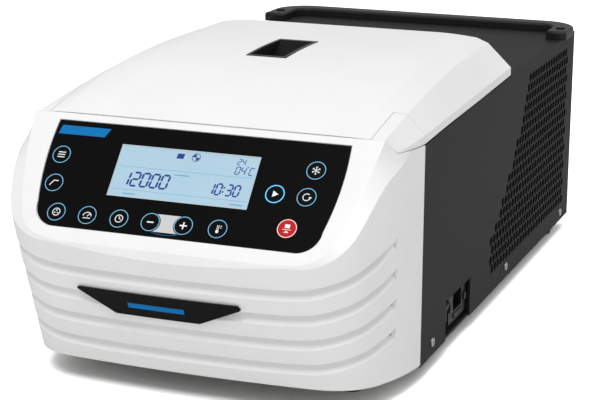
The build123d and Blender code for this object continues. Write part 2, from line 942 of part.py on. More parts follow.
# Chamber gasket on the bowl's lip
gasket_top = bowl_top + gasket_height
gasket_inner = bowl_outer
gasket_outer = bowl_outer + gasket_width
with BuildPart() as chamber_gasket:
    with BuildSketch(chamber_section):
        with BuildLine():
            Polyline((gasket_inner, bowl_top + 1), (gasket_inner, bowl_top), (gasket_outer, bowl_top),
                     (gasket_outer, bowl_top + 1))
            ThreePointArc((gasket_outer, bowl_top + 1), ((gasket_inner + gasket_outer) / 2, gasket_top),
                          (gasket_inner, bowl_top + 1))
        make_face()
    revolve(axis=chamber_axis)
save("chamber_gasket", chamber_gasket.part)

# Evaporator jacket round the bowl
evaporator_outer = bowl_outer + evaporator_wall
with BuildPart() as evaporator:
    with Locations((0, chamber_y, (evaporator_low + evaporator_high) / 2)):
        Cylinder(evaporator_outer, evaporator_high - evaporator_low)
        Cylinder(bowl_outer, evaporator_high - evaporator_low, mode=Mode.SUBTRACT)
save("evaporator", evaporator.part)

# Foam insulation, foamed round the bowl and its jacket, under the deck
with BuildPart() as insulation:
    block(at(-foam_half, foam_front, foam_bottom), at(foam_half, foam_rear, deck_bottom))
    with Locations((0, chamber_y, (bowl_under + deck_top) / 2)):
        Cylinder(evaporator_outer, deck_top - bowl_under, mode=Mode.SUBTRACT)
    with Locations((0, chamber_y, foam_bottom)):
        Cylinder(shaft_hole, 40, mode=Mode.SUBTRACT)
    with BuildSketch(front_plane.offset(-foam_rear)):
        with Locations((0, suction_height)):
            Circle(pipe_radius + 1)
        with Locations((0, feed_height)):
            Circle(pipe_radius)
    extrude(amount=foam_rear - chamber_back, mode=Mode.SUBTRACT)
save("insulation", insulation.part)

# Rotor with angled tube pockets
rotor_top = rotor_bottom + hub_height
with BuildPart() as rotor:
    with BuildSketch(chamber_section):
        with BuildLine():
            profile = [(shaft_radius, 0), (rotor_base, 0), (rotor_edge, 6), (rotor_edge, 22),
                       (rotor_rim, rotor_height), (rotor_rim - 4, rotor_height),
                       (rotor_dish, rotor_dish_height),
                       (hub_radius, rotor_dish_height), (hub_radius, hub_height), (shaft_radius, hub_height)]
            Polyline(*[(radius, rotor_bottom + height) for radius, height in profile], close=True)
        make_face()
    revolve(axis=chamber_axis)
    for place in range(rotor_places):
        turned = 2 * pi * place / rotor_places
        outward = Vector(cos(turned), sin(turned), 0)
        mouth = Vector(0, chamber_y, rotor_bottom + pocket_mouth_height) + outward * pocket_mouth_radius
        inward_up = (Vector(0, 0, 1) - outward).normalized()
        with BuildSketch(Plane(origin=mouth + inward_up * 8, z_dir=inward_up)):
            Circle(pocket_radius)
        extrude(amount=-(pocket_depth + 8), mode=Mode.SUBTRACT)
save("rotor", rotor.part)

# Rotor nut: knurled knob that holds the rotor down
with BuildPart() as rotor_nut:
    with Locations((0, chamber_y, rotor_top + nut_height / 2)):
        Cylinder(nut_radius, nut_height)
    fillet(rotor_nut.edges().group_by(Axis.Z)[-1], 2)
    with BuildSketch(Plane(origin=(0, chamber_y, rotor_top))):
        with PolarLocations(nut_radius + 0.6, 24):
            Circle(1.4)
    extrude(amount=nut_height - 3, mode=Mode.SUBTRACT)
    with Locations((0, chamber_y, rotor_top)):
        Cylinder(shaft_radius, 16, mode=Mode.SUBTRACT)
save("rotor_nut", rotor_nut.part)

# Drive motor under the chamber, bored for its shaft
mounts_top = floor_top + mount_height
motor_bottom = mounts_top + mount_plate
motor_top = motor_bottom + motor_height
shaft_bottom = motor_bottom + 6
with BuildPart() as motor:
    with Locations((0, chamber_y, (motor_bottom + motor_top) / 2)):
        Cylinder(motor_radius, motor_height)
    chamfer(motor.edges().group_by(Axis.Z)[-1], 3)
    with BuildSketch(Plane(origin=(0, chamber_y, motor_top))):
        Circle(shaft_radius + running_fit)
    extrude(amount=shaft_bottom - motor_top, mode=Mode.SUBTRACT)
    with BuildSketch(Plane(origin=(0, chamber_y, motor_bottom + 10))):
        with PolarLocations(motor_radius, 36):
            Rectangle(3, 2)
    extrude(amount=motor_height - 20, mode=Mode.SUBTRACT)
save("motor", motor.part)

# Motor shaft, from the motor into the nut
with BuildPart() as motor_shaft:
    with BuildSketch(Plane(origin=(0, chamber_y, shaft_bottom))):
        Circle(shaft_radius)
    extrude(amount=rotor_top + 8 - shaft_bottom)
save("motor_shaft", motor_shaft.part)

# Plate that carries the motor on its rubber mounts
with BuildPart() as motor_plate:
    with BuildSketch(Plane(origin=(0, chamber_y, mounts_top))):
        RectangleRounded(2 * mount_spread + 30, 2 * mount_spread + 30, 14)
    extrude(amount=mount_plate)
save("motor_plate", motor_plate.part)

# Rubber mounts: four under the motor plate, four under the compressor's feet
compressor_y = joint_y + compressor_back
with BuildPart() as rubber_mounts:
    with BuildSketch(Plane(origin=(0, chamber_y, floor_top))):
        with GridLocations(2 * mount_spread, 2 * mount_spread, 2, 2):
            Circle(mount_radius)
    extrude(amount=mount_height)
    with BuildSketch(Plane(origin=(compressor_x, compressor_y, floor_top))):
        with GridLocations(2 * compressor_spread, 2 * compressor_spread, 2, 2):
            Circle(mount_radius)
    extrude(amount=compressor_mount)
save("rubber_mounts", rubber_mounts.part)

# Compressor: welded steel pot on a foot plate, with its terminal box
compressor_feet = floor_top + compressor_mount
pot_bottom = compressor_feet + 3
with BuildPart() as compressor:
    with Locations((compressor_x, compressor_y, pot_bottom + compressor_height / 2)):
        Cylinder(compressor_radius, compressor_height)
    fillet(compressor.edges().group_by(Axis.Z)[-1], 24)
    fillet(compressor.edges().group_by(Axis.Z)[0], 8)
    with BuildSketch(Plane(origin=(compressor_x, compressor_y, compressor_feet))):
        RectangleRounded(2 * compressor_spread + 26, 2 * compressor_spread + 26, 16)
    extrude(amount=3)
    block((compressor_x - terminal_half, compressor_y - compressor_radius - terminal_depth, terminal_low),
          (compressor_x + terminal_half, compressor_y - compressor_radius + 8, terminal_high))
save("compressor", compressor.part)

# Condenser: flat fins on straight tubes along Y, between two end sheets
condenser_length = condenser_rear - condenser_front
condenser_centre = (condenser_inner + condenser_outer) / 2
condenser_middle = (condenser_low + condenser_high) / 2
fin_count = int((condenser_length - 2 * end_sheet) / fin_pitch)
with BuildPart() as condenser:
    with BuildSketch(Plane(origin=at(condenser_centre, condenser_front + condenser_length / 2, condenser_low))):
        with GridLocations(1, fin_pitch, 1, fin_count):
            Rectangle(condenser_outer - condenser_inner, fin_thick)
    extrude(amount=condenser_high - condenser_low)
    with BuildSketch(Plane(origin=at(condenser_centre, condenser_front, condenser_middle),
                           x_dir=(1, 0, 0), z_dir=(0, -1, 0))):
        with GridLocations(tube_column_pitch, tube_row_pitch, 2, tube_rows):
            Circle(pipe_radius)
    extrude(amount=-condenser_length)
    for back in (condenser_front, condenser_rear - end_sheet):
        block(at(condenser_inner, back, floor_top), at(condenser_outer, back + end_sheet, condenser_high))
save("condenser", condenser.part)

# Fan shroud with its motor, held by arms in front of the ring
fan_y = joint_y + fan_back
ring_inner = fan_radius + fan_tip_gap
fan_end = condenser_inner - shroud_sheet - shroud_gap
fan_start = fan_end - fan_depth
arm_start = fan_start - fan_arm_gap - fan_arm


def fan_plane(x):
    """Plane across the fan's axis."""
    return Plane(origin=(x, fan_y, fan_height), x_dir=(0, 1, 0), z_dir=(1, 0, 0))


with BuildPart() as fan_shroud:
    block(at(condenser_inner - shroud_sheet, condenser_front, condenser_low),
          at(condenser_inner, condenser_rear, condenser_high))
    with BuildSketch(fan_plane(arm_start)):
        Circle(ring_inner + shroud_ring)
    extrude(amount=condenser_inner - arm_start)
    with BuildSketch(fan_plane(arm_start)):
        Circle(ring_inner)
    extrude(amount=condenser_inner - arm_start, mode=Mode.SUBTRACT)
    for turned in (30, 150, 270):
        along = Vector(0, cos(radians(turned)), sin(radians(turned)))
        arm_root = (arm_start + fan_arm / 2, fan_y, fan_height)
        with BuildSketch(Plane(origin=arm_root, x_dir=(1, 0, 0), z_dir=along)):
            Rectangle(fan_arm, 10)
        extrude(amount=ring_inner + 1)
    with BuildSketch(fan_plane(arm_start + fan_arm)):
        Circle(fan_motor_radius)
    extrude(amount=-fan_motor_length)
    with BuildSketch(fan_plane(arm_start)):
        Circle(fan_spindle)
    extrude(amount=fan_end - 4 - arm_start)
save("fan_shroud", fan_shroud.part)

# Fan: a hub with seven tilted blades, running on the motor's spindle
with BuildPart() as fan_blades:
    for blade in range(fan_blade_count):
        turned = 2 * pi * blade / fan_blade_count
        radial = Vector(0, cos(turned), sin(turned))
        tangent = Vector(0, -sin(turned), cos(turned))
        tilt = radians(fan_blade_tilt)
        chord = tangent * cos(tilt) + Vector(1, 0, 0) * sin(tilt)
        middle = Vector((fan_start + fan_end) / 2, fan_y, fan_height)
        with BuildSketch(Plane(origin=middle + radial * (fan_hub - 3), x_dir=chord, z_dir=radial)):
            Rectangle(fan_blade_chord, fan_blade_thick)
        extrude(amount=fan_radius)
    with BuildSketch(fan_plane(fan_start)):
        Circle(fan_radius)
    extrude(amount=fan_depth, mode=Mode.INTERSECT)
    with BuildSketch(fan_plane(fan_start)):
        Circle(fan_hub)
    extrude(amount=fan_depth)
    with BuildSketch(fan_plane(fan_start)):
        Circle(fan_spindle + running_fit)
    extrude(amount=fan_depth - 4 + running_fit, mode=Mode.SUBTRACT)
save("fan_blades", fan_blades.part)


def pipe(points, radius):
    """A round pipe bent through points given as (x, back, height)."""
    spots = [at(*point) for point in points]
    with BuildPart() as tube:
        with BuildLine() as route:
            FilletPolyline(*spots, radius=pipe_bend)
        with BuildSketch(Plane(origin=route.line @ 0, z_dir=route.line % 0)):
            Circle(radius)
        sweep(path=route.line)
    return tube.part


# Suction and discharge pipes of the compressor
evaporator_rear = chamber_back + evaporator_outer
tube_first = condenser_centre - tube_column_pitch / 2
tube_top = condenser_middle + tube_row_pitch * (tube_rows - 1) / 2
tube_bottom = condenser_middle - tube_row_pitch * (tube_rows - 1) / 2
with BuildPart() as refrigerant_pipes:
    add(pipe([(0, evaporator_rear, suction_height), (0, pipe_front_lane, suction_height),
              (compressor_x, pipe_front_lane, suction_height), (compressor_x, pipe_lane, suction_drop),
              (compressor_x, compressor_back - compressor_radius, suction_drop)], pipe_radius))
    add(pipe([(compressor_x + compressor_radius, compressor_back, suction_drop),
              (discharge_x, compressor_back, suction_drop), (discharge_x, compressor_back, discharge_height),
              (discharge_x, pipe_lane, discharge_height), (tube_first, pipe_lane, discharge_height),
              (tube_first, pipe_lane, tube_top), (tube_first, condenser_front, tube_top)], pipe_radius - 1))
save("refrigerant_pipes", refrigerant_pipes.part)

# Liquid line from the condenser through its drier to the evaporator
with BuildPart() as liquid_line:
    add(pipe([(tube_first, condenser_front, tube_bottom), (tube_first, pipe_lane, tube_bottom),
              (feed_x, pipe_lane, tube_bottom), (feed_x, pipe_lane, feed_height), (0, pipe_lane, feed_height),
              (0, evaporator_rear, feed_height)], pipe_radius - 1))
    with Locations(Location(at(drier_x, pipe_lane, tube_bottom), (0, 90, 0))):
        Cylinder(drier_radius, drier_length)
        Cone(pipe_radius, drier_radius, 10, align=(Align.CENTER, Align.CENTER, Align.MAX))
save("liquid_line", liquid_line.part)

# Main board, standing behind the front casing
board_plane = Plane(origin=at(0, board_back, 0), x_dir=(1, 0, 0), z_dir=(0, -1, 0))
with BuildPart() as main_board:
    with BuildSketch(board_plane.offset(board_sheet)):
        with Locations((0, (board_low + board_high) / 2)):
            Rectangle(2 * board_half, board_high - board_low)
    extrude(amount=-board_sheet)
    for x, height, width, tall, deep in board_parts:
        with BuildSketch(board_plane):
            with Locations((x, height)):
                Rectangle(width, tall)
        extrude(amount=-deep)
    with BuildSketch(board_plane):
        with Locations(*capacitor_spots):
            Circle(capacitor_radius)
    extrude(amount=-capacitor_length)
    for fin in range(cooler_fins):
        with BuildSketch(board_plane):
            with Locations((cooler_left + cooler_pitch * fin, cooler_height)):
                Rectangle(2, 16)
        extrude(amount=-cooler_depth)
save("main_board", main_board.part)

# Brackets that stand the main board on the base pan
bracket_x = board_half - bracket_width
with BuildPart() as board_bracket:
    for side in (-1, 1):
        edges = sorted((side * bracket_x, side * board_half))
        front = board_back - board_sheet - bracket_sheet
        block(at(edges[0], front, floor_top), at(edges[1], front + bracket_sheet, board_high))
        block(at(edges[0], front, floor_top), at(edges[1], board_back + 16, floor_top + bracket_sheet))
save("board_bracket", board_bracket.part)

# Tray behind the notch in the side cover, cut for the mains inlet, with the switch's housing
tray_inner = pan_half - tray_depth
tray_face = tray_inner + tray_sheet
flange_face = tray_face + inlet_flange
inlet_screw_spots = [(inlet_back + side * inlet_screw_half, inlet_height) for side in (-1, 1)]
rocker_plane = Plane(origin=at(tray_face - 1, rocker_back, inlet_height), x_dir=(1, 0, 0), z_dir=(0, -1, 0))
rocker_slot = rocker_half + rocker_gap
housing_half = rocker_slot + rocker_housing
housing_high = rocker_radius + rocker_gap + rocker_housing
with BuildPart() as inlet_bracket:
    block(at(tray_inner, notch_front - tray_sheet, floor_top),
          at(pan_half, notch_rear + tray_sheet, notch_top + tray_sheet))
    block(at(tray_face, notch_front, floor_top - 1), at(pan_half + 1, notch_rear, notch_top), Mode.SUBTRACT)
    block(at(tray_inner - 1, inlet_back - inlet_body_half - snug, inlet_height - inlet_flange_high + 1),
          at(pan_half, inlet_back + inlet_body_half + snug, inlet_height + inlet_flange_high - 1),
          Mode.SUBTRACT)
    block(at(tray_face - rocker_depth, rocker_back - housing_half, inlet_height - housing_high),
          at(tray_face + rocker_housing, rocker_back + housing_half, inlet_height + housing_high))
    block(at(tray_face - 2, rocker_back - rocker_slot, inlet_height - rocker_radius - rocker_gap),
          at(pan_half, rocker_back + rocker_slot, inlet_height + rocker_radius + rocker_gap), Mode.SUBTRACT)
    with BuildSketch(rocker_plane.offset(rocker_slot)):
        Circle(rocker_radius + rocker_gap)
    extrude(amount=-2 * rocker_slot, mode=Mode.SUBTRACT)
    with BuildSketch(rocker_plane.offset(rocker_slot + 1)):
        Circle(pivot_radius)
    extrude(amount=-2 * rocker_slot - 2)
    with BuildSketch(side_plane.offset(tray_inner - 1)):
        with Locations(*inlet_screw_spots):
            Circle(screw_hole)
    extrude(amount=tray_sheet + 2, mode=Mode.SUBTRACT)
save("inlet_bracket", inlet_bracket.part)

# Rocker with two faces at a shallow angle, tilted at rest, on its housing's pivot
lean_in = tan(radians(rocker_tilt))
tilted_plane = Plane(origin=rocker_plane.origin, z_dir=(0, -1, 0),
                     x_dir=(cos(radians(rocker_tilt)), 0, -sin(radians(rocker_tilt))))
with BuildPart() as mains_rocker:
    with BuildSketch(tilted_plane.offset(rocker_half)):
        Circle(rocker_radius)
        with BuildLine():
            Polyline((-12, -12), (3 + 12 * lean_in, -12), (3, 0), (3 + 12 * lean_in, 12), (-12, 12), close=True)
        make_face(mode=Mode.INTERSECT)
        Circle(pivot_radius + running_fit, mode=Mode.SUBTRACT)
    extrude(amount=-2 * rocker_half)
save("mains_rocker", mains_rocker.part)

# Mains inlet: flange, body, socket with three pins, and a slot for the fuse drawer
flange_low = inlet_height - inlet_flange_high
flange_top = inlet_height + inlet_flange_high
with BuildPart() as power_inlet:
    with BuildSketch(side_plane.offset(tray_face)):
        with Locations((inlet_back, inlet_height)):
            RectangleRounded(2 * inlet_flange_half, 2 * inlet_flange_high, 3)
    extrude(amount=inlet_flange)
    block(at(tray_face - inlet_body_depth, inlet_back - inlet_body_half, flange_low + 1.3),
          at(tray_face, inlet_back + inlet_body_half, flange_top - 1.3))
    with BuildSketch(side_plane.offset(flange_face)):
        with Locations((inlet_back, (socket_low + socket_high) / 2)):
            Rectangle(2 * socket_half, socket_high - socket_low)
    extrude(amount=-socket_depth, mode=Mode.SUBTRACT)
    with BuildSketch(side_plane.offset(flange_face - socket_depth)):
        with Locations((inlet_back - 7, socket_low + 6), (inlet_back + 7, socket_low + 6),
                       (inlet_back, socket_low + 10)):
            Rectangle(2, 4)
    extrude(amount=pin_length)
    block(at(tray_face - fuse_depth - snug, inlet_back - fuse_half - snug, fuse_low - snug),
          at(flange_face + 1, inlet_back + fuse_half + snug, fuse_high + snug), Mode.SUBTRACT)
    with BuildSketch(side_plane.offset(tray_inner - 1)):
        with Locations(*inlet_screw_spots):
            Circle(screw_hole)
    extrude(amount=inlet_flange + tray_sheet + 2, mode=Mode.SUBTRACT)
save("power_inlet", power_inlet.part)

# Fuse drawer, which slides out of the inlet
with BuildPart() as fuse_drawer:
    block(at(tray_face - fuse_depth, inlet_back - fuse_half, fuse_low),
          at(flange_face, inlet_back + fuse_half, fuse_high))
    block(at(flange_face, inlet_back - fuse_half, fuse_low + 1),
          at(flange_face + 0.8, inlet_back + fuse_half, fuse_high - 0.4))
    block(at(tray_face - fuse_depth + 2, inlet_back - 10, fuse_low + 1),
          at(tray_face - 3, inlet_back + 10, fuse_high + 1), Mode.SUBTRACT)
save("fuse_drawer", fuse_drawer.part)


def outline_wire(plane, points):
    """A closed polygon given by its corners in a plane."""
    return Wire.make_polygon([plane.from_local_coords(point) for point in points])


def hexagon(plane, spot):
    """Rim of one vent, a hexagon standing on its point."""
    x, y = spot
    angles = [radians(30 + 60 * corner) for corner in range(6)]
    return outline_wire(plane, [(x + vent_radius * cos(a), y + vent_radius * sin(a)) for a in angles])


def round_hole(plane, spot, radius):
    """Rim of one round hole."""
    return Wire.make_circle(radius, Plane(origin=plane.from_local_coords(spot), z_dir=plane.z_dir))


# Side covers: sheets with hexagon vents, the right one with its notch for the inlet
for name, side in (("left_cover", -1), ("right_cover", 1)):
    cover_plane = side_plane.offset(side * pan_half)
    profile = cover_profile()
    if side > 0:
        profile += [(notch_rear, body_bottom), (notch_rear, notch_top),
                    (notch_front, notch_top), (notch_front, body_bottom)]
    openings = [hexagon(cover_plane, spot) for spot in vent_spots()]
    openings += [round_hole(cover_plane, spot, screw_hole) for spot in side_screw_spots]
    with BuildPart() as cover:
        extrude(Face(outline_wire(cover_plane, profile), openings), amount=sheet, dir=(side, 0, 0))
    save(name, cover.part)

# Rear panel with a field of vents and its screw holes
rear_vents = [(compressor_x + vent_pitch * (column + row % 2 / 2), rear_vent_low + vent_row * row)
              for row in range(rear_vent_rows) for column in range(-rear_vent_half, rear_vent_half)]
with BuildPart() as rear_panel:
    panel_face = front_plane.offset(-pan_rear)
    openings = [hexagon(panel_face, spot) for spot in rear_vents]
    openings += [round_hole(panel_face, spot, screw_hole) for spot in rear_screw_spots]
    corners = [(-pan_half, body_bottom), (pan_half, body_bottom), (pan_half, body_top), (-pan_half, body_top)]
    extrude(Face(outline_wire(panel_face, corners), openings), amount=sheet, dir=(0, 1, 0))
save("rear_panel", rear_panel.part)

# Top cover behind the lid, with a front flange that meets the deck
cover_bottom = body_top - sheet
hinge_back = lid_rear + hinge_behind
hinge_height = body_top + hinge_above
hinge_screw_back = hinge_back + hinge_screw_behind
hinge_screw_spots = [(side * hinge_x + along, hinge_screw_back)
                     for side in (-1, 1) for along in (-hinge_screw_half, hinge_screw_half)]
bolt_spots = [(-rail_bolt_half, rail_bolt_back), (rail_bolt_half, rail_bolt_back)]
cover_screws = [(x, joint_y + back) for x, back in hinge_screw_spots + bolt_spots]
with BuildPart() as top_cover:
    block(at(-pan_half, top_cover_front, cover_bottom), at(pan_half, pan_rear, body_top))
    block(at(-pan_half, top_cover_front, deck_bottom), at(pan_half, top_cover_front + sheet, body_top))
    with BuildSketch(Plane.XY.offset(cover_bottom - 1)):
        with Locations(*cover_screws):
            Circle(screw_hole)
    extrude(amount=sheet + 2, mode=Mode.SUBTRACT)
save("top_cover", top_cover.part)

# Rear rail: a flat U round the back of the top, open to the front
rail_rear = body_rear + rail_overhang
rail_outer = half_width + rail_side
rail_inner = rail_outer - rail_width
rail_top = body_top + rail_height
with BuildPart() as rear_rail:
    with BuildSketch(Plane.XY.offset(body_top)):
        with BuildLine():
            FilletPolyline(at(-rail_outer, rail_front, 0)[:2], at(-rail_outer, rail_rear, 0)[:2],
                           at(rail_outer, rail_rear, 0)[:2], at(rail_outer, rail_front, 0)[:2],
                           radius=rail_outer_corner)
            tip = rail_width / 2
            ThreePointArc(at(rail_outer, rail_front, 0)[:2], at(rail_outer - tip, rail_front - 2, 0)[:2],
                          at(rail_inner, rail_front, 0)[:2])
            FilletPolyline(at(rail_inner, rail_front, 0)[:2], at(rail_inner, rail_rear - rail_width, 0)[:2],
                           at(-rail_inner, rail_rear - rail_width, 0)[:2], at(-rail_inner, rail_front, 0)[:2],
                           radius=rail_inner_corner)
            ThreePointArc(at(-rail_inner, rail_front, 0)[:2], at(-rail_outer + tip, rail_front - 2, 0)[:2],
                          at(-rail_outer, rail_front, 0)[:2])
        make_face()
    extrude(amount=rail_height)
    fillet(rear_rail.edges().group_by(Axis.Z)[-1], 2.5)
    with BuildSketch(Plane.XY.offset(body_top)):
        with Locations(*[at(x, back, 0)[:2] for x, back in bolt_spots]):
            Circle(screw_hole)
    extrude(amount=rail_height, mode=Mode.SUBTRACT)
save("rear_rail", rear_rail.part)


def screw(spot, outward, head, head_height, length):
    """A round-headed screw whose head lies on a face at `spot`, pointing `outward`."""
    face = Plane(origin=spot, z_dir=outward)
    with BuildPart() as fastener:
        with BuildSketch(face):
            Circle(head)
        extrude(amount=head_height)
        fillet(fastener.edges().filter_by(GeomType.CIRCLE).sort_by(Axis(spot, outward))[-1], head_height / 2)
        with BuildSketch(face):
            Circle(screw_shank)
        extrude(amount=-length)
        with BuildSketch(face.offset(head_height)):
            Rectangle(head * 0.9, 0.7)
            Rectangle(0.7, head * 0.9)
        extrude(amount=-head_height * 0.6, mode=Mode.SUBTRACT)
    return fastener.part


# Two bolts that hold the rail
with BuildPart() as rail_bolts:
    for x, back in bolt_spots:
        add(screw(at(x, back, rail_top), (0, 0, 1), bolt_head, bolt_head_height, rail_height + sheet + 5))
save("rail_bolts", rail_bolts.part)

# Screws of the side covers, the rear panel, the mains inlet and the hinges
with BuildPart() as case_screws:
    for side in (-1, 1):
        for back, height in side_screw_spots:
            add(screw(at(side * half_width, back, height), (side, 0, 0), screw_head, screw_head_height,
                      screw_length))
    for x, height in rear_screw_spots:
        add(screw(at(x, body_rear, height), (0, 1, 0), screw_head, screw_head_height, screw_length))
    for back, height in inlet_screw_spots:
        add(screw(at(flange_face, back, height), (1, 0, 0), screw_head, screw_head_height, screw_length))
    for x, back in hinge_screw_spots:
        add(screw(at(x, back, body_top + leaf_thick), (0, 0, 1), screw_head, screw_head_height, screw_length))
save("case_screws", case_screws.part)

# Latch body under the deck: two cheeks on a floor, the hook's pin, and the release solenoid
latch_floor = deck_bottom - latch_depth
pivot_height = deck_top - hook_pivot_drop
with BuildPart() as latch_body:
    block(at(-latch_half, latch_front, latch_floor), at(latch_half, latch_rear, latch_floor + latch_wall))
    for side in (-1, 1):
        edges = sorted((side * latch_half, side * (latch_half - latch_wall)))
        block(at(edges[0], latch_front, latch_floor), at(edges[1], latch_rear, deck_bottom))
        edges = sorted((side * latch_half, side * (latch_half + 8)))
        block(at(edges[0], deck_front, deck_bottom - latch_wall), at(edges[1], latch_rear, deck_bottom))
    with BuildSketch(side_plane.offset(-latch_half)):
        with Locations((hook_pivot_back, pivot_height)):
            Circle(hook_pin)
    extrude(amount=2 * latch_half)
    block(at(-solenoid_half, latch_front, latch_floor - solenoid_height),
          at(solenoid_half, latch_rear, latch_floor))
save("latch_body", latch_body.part)

# Latch hook: its eye runs on the pin; its nose reaches over the striker, and is drawn turned forward, released
striker_height = deck_top - striker_drop
nose_low = striker_height + striker_radius + hook_clearance
nose_top = nose_low + hook_nose
with BuildPart() as latch_hook:
    with BuildSketch(side_plane.offset(-hook_half)):
        with Locations((hook_pivot_back, pivot_height)):
            Circle(hook_eye)
        with BuildLine():
            Polyline((hook_pivot_back - hook_arm, pivot_height), (hook_pivot_back - hook_arm / 2, nose_top),
                     (latch_back + 3, nose_top), (latch_back + 3, nose_low),
                     (hook_pivot_back + hook_arm / 2, nose_low),
                     (hook_pivot_back + hook_arm, pivot_height), close=True)
        make_face()
        with Locations((hook_pivot_back, pivot_height)):
            Circle(hook_pin + running_fit, mode=Mode.SUBTRACT)
    extrude(amount=2 * hook_half)
hook_axis = Axis(at(0, hook_pivot_back, pivot_height), (1, 0, 0))
save("latch_hook", latch_hook.part.rotate(hook_axis, hook_release))

# Lid: hollow shell with a closed rear wall and a closed front lip
cap_front = lid_front - 5
cap_outline = [(cap_inner, cap_front), (cap_inner, cap_bend_back), (cap_corner, cap_corner_back),
               (half_width, 0), (half_width + 5, 0), (half_width + 5, cap_front)]
with BuildPart() as lid_hollow:
    add(lid_form(lid_wall))
    block(at(-half_width, lid_rear - lid_wall, lid_base),
          at(half_width, lid_rear + 1, lid_crown + lid_clear), Mode.SUBTRACT)
    slant = 1.414 * lid_wall
    over_lip = lid_front_height + lid_clear
    add(prism_along_x([(lid_front - 1, over_lip), (lid_front + slant, over_lip),
                       (lid_front + slant, lid_lip_height), (lid_corner_back + slant, lid_corner_height),
                       (lid_corner_back + slant, lid_base), (lid_front - 1, lid_base)],
                      -half_width, half_width), mode=Mode.SUBTRACT)
with BuildPart() as cap_zone:
    for side in (-1, 1):
        with BuildSketch(Plane.XY.offset(lid_base)):
            with BuildLine():
                Polyline(*[(side * x, joint_y + back) for x, back in cap_outline], close=True)
            make_face()
        extrude(amount=50)
with BuildPart() as seam_zone:
    for side in (-1, 1):
        with BuildSketch(Plane.XY.offset(lid_base)):
            with BuildLine():
                Polyline(*[(side * x, joint_y + back) for x, back in cap_outline], close=True)
            make_face()
            offset(amount=cap_seam, kind=Kind.INTERSECTION)
        extrude(amount=50)
    add(lid_form(cap_seam_depth), mode=Mode.SUBTRACT)
with BuildPart() as window_zone:
    block(at(window_left - snug, window_front - snug, lid_base),
          at(window_right + snug, window_rear + snug, lid_crown + lid_clear))
with BuildPart() as lid_whole:
    add(lid_form(0))
    add(lid_hollow.part, mode=Mode.SUBTRACT)
    add(prism_along_x([(lid_front - 5, lid_base - 1), (lid_front - 5, lid_lip_height),
                       *gap_profile(0)[1:], *lid_low[1:],
                       (lid_rear + 5, lid_low[-1][1]), (lid_rear + 5, lid_base - 1)],
                      -half_width - 1, half_width + 1), mode=Mode.SUBTRACT)
with BuildPart() as lid_shell:
    add(lid_whole.part)
    add(cap_zone.part, mode=Mode.SUBTRACT)
    add(seam_zone.part, mode=Mode.SUBTRACT)
    add(window_zone.part, mode=Mode.SUBTRACT)
save("lid_shell", lid_shell.part)
with BuildPart() as corner_caps:
    add(lid_whole.part)
    add(cap_zone.part, mode=Mode.INTERSECT)
save("corner_caps", corner_caps.part)

# Lid liner: flat plate over the chamber with a raised border that meets the lid's inside
liner_low = gasket_top + seal_gap
with BuildPart() as lid_liner:
    block(at(-liner_half, liner_front, liner_low), at(liner_half, liner_rear, lid_crown + lid_clear))
    block(at(-liner_half + liner_sheet, liner_front + liner_sheet, liner_low + liner_sheet),
          at(liner_half - liner_sheet, liner_rear - liner_sheet, lid_crown + lid_clear + 1), Mode.SUBTRACT)
    add(lid_hollow.part, mode=Mode.INTERSECT)
    add(window_zone.part, mode=Mode.SUBTRACT)
save("lid_liner", lid_liner.part)

# Window frame: a well through the lid, funnel-shaped above its glass
with BuildPart() as window_frame:
    block(at(window_left, window_front, liner_low), at(window_right, window_rear, lid_crown + lid_clear))
    add(lid_form(0, window_proud), mode=Mode.INTERSECT)
    with BuildSketch(Plane.XY.offset(lid_crown + skin_bulge + 2)):
        with Locations(((window_left + window_right) / 2, joint_y + (window_front + window_rear) / 2)):
            Rectangle(window_right - window_left - 2 * window_border,
                      window_rear - window_front - 2 * window_border)
    with BuildSketch(Plane.XY.offset(glass_height)):
        with Locations(((glass_left + glass_right) / 2, joint_y + (glass_front + glass_rear) / 2)):
            Rectangle(glass_right - glass_left, glass_rear - glass_front)
    loft(mode=Mode.SUBTRACT)
    block(at(glass_left, glass_front, glass_height - glass_thick), at(glass_right, glass_rear, glass_height),
          Mode.SUBTRACT)
    block(at(glass_left + glass_ledge, glass_front + glass_ledge, liner_low - 1),
          at(glass_right - glass_ledge, glass_rear - glass_ledge, glass_height), Mode.SUBTRACT)
save("window_frame", window_frame.part)

# Window glass on its ledge
with BuildPart() as window_glass:
    block(at(glass_left, glass_front, glass_height - glass_thick), at(glass_right, glass_rear, glass_height))
save("window_glass", window_glass.part)

# Striker: a bent rod under the liner
with BuildPart() as lid_striker:
    with BuildLine() as loop:
        FilletPolyline(at(-striker_half, latch_back, liner_low), at(-striker_half, latch_back, striker_height),
                       at(striker_half, latch_back, striker_height), at(striker_half, latch_back, liner_low),
                       radius=4)
    with BuildSketch(Plane(origin=loop.line @ 0, z_dir=loop.line % 0)):
        Circle(striker_radius)
    sweep(path=loop.line)
save("lid_striker", lid_striker.part)

# Lid leaves: a plate on the lid's rear wall with a neck down to the middle knuckle
with BuildPart() as lid_leaves:
    for side in (-1, 1):
        x = side * hinge_x
        block(at(x - hinge_half, lid_rear, hinge_height + hinge_knuckle + 1),
              at(x + hinge_half, lid_rear + leaf_thick, hinge_height + leaf_top))
        block(at(x - middle_half, lid_rear, hinge_height), at(x + middle_half, lid_rear + 3, hinge_height + 8))
        with BuildSketch(side_plane.offset(x - middle_half)):
            with Locations((hinge_back, hinge_height)):
                Circle(hinge_knuckle)
        extrude(amount=2 * middle_half)
        with BuildSketch(side_plane.offset(x - middle_half)):
            with Locations((hinge_back, hinge_height)):
                Circle(hinge_pin + running_fit)
        extrude(amount=2 * middle_half, mode=Mode.SUBTRACT)
save("lid_leaves", lid_leaves.part)

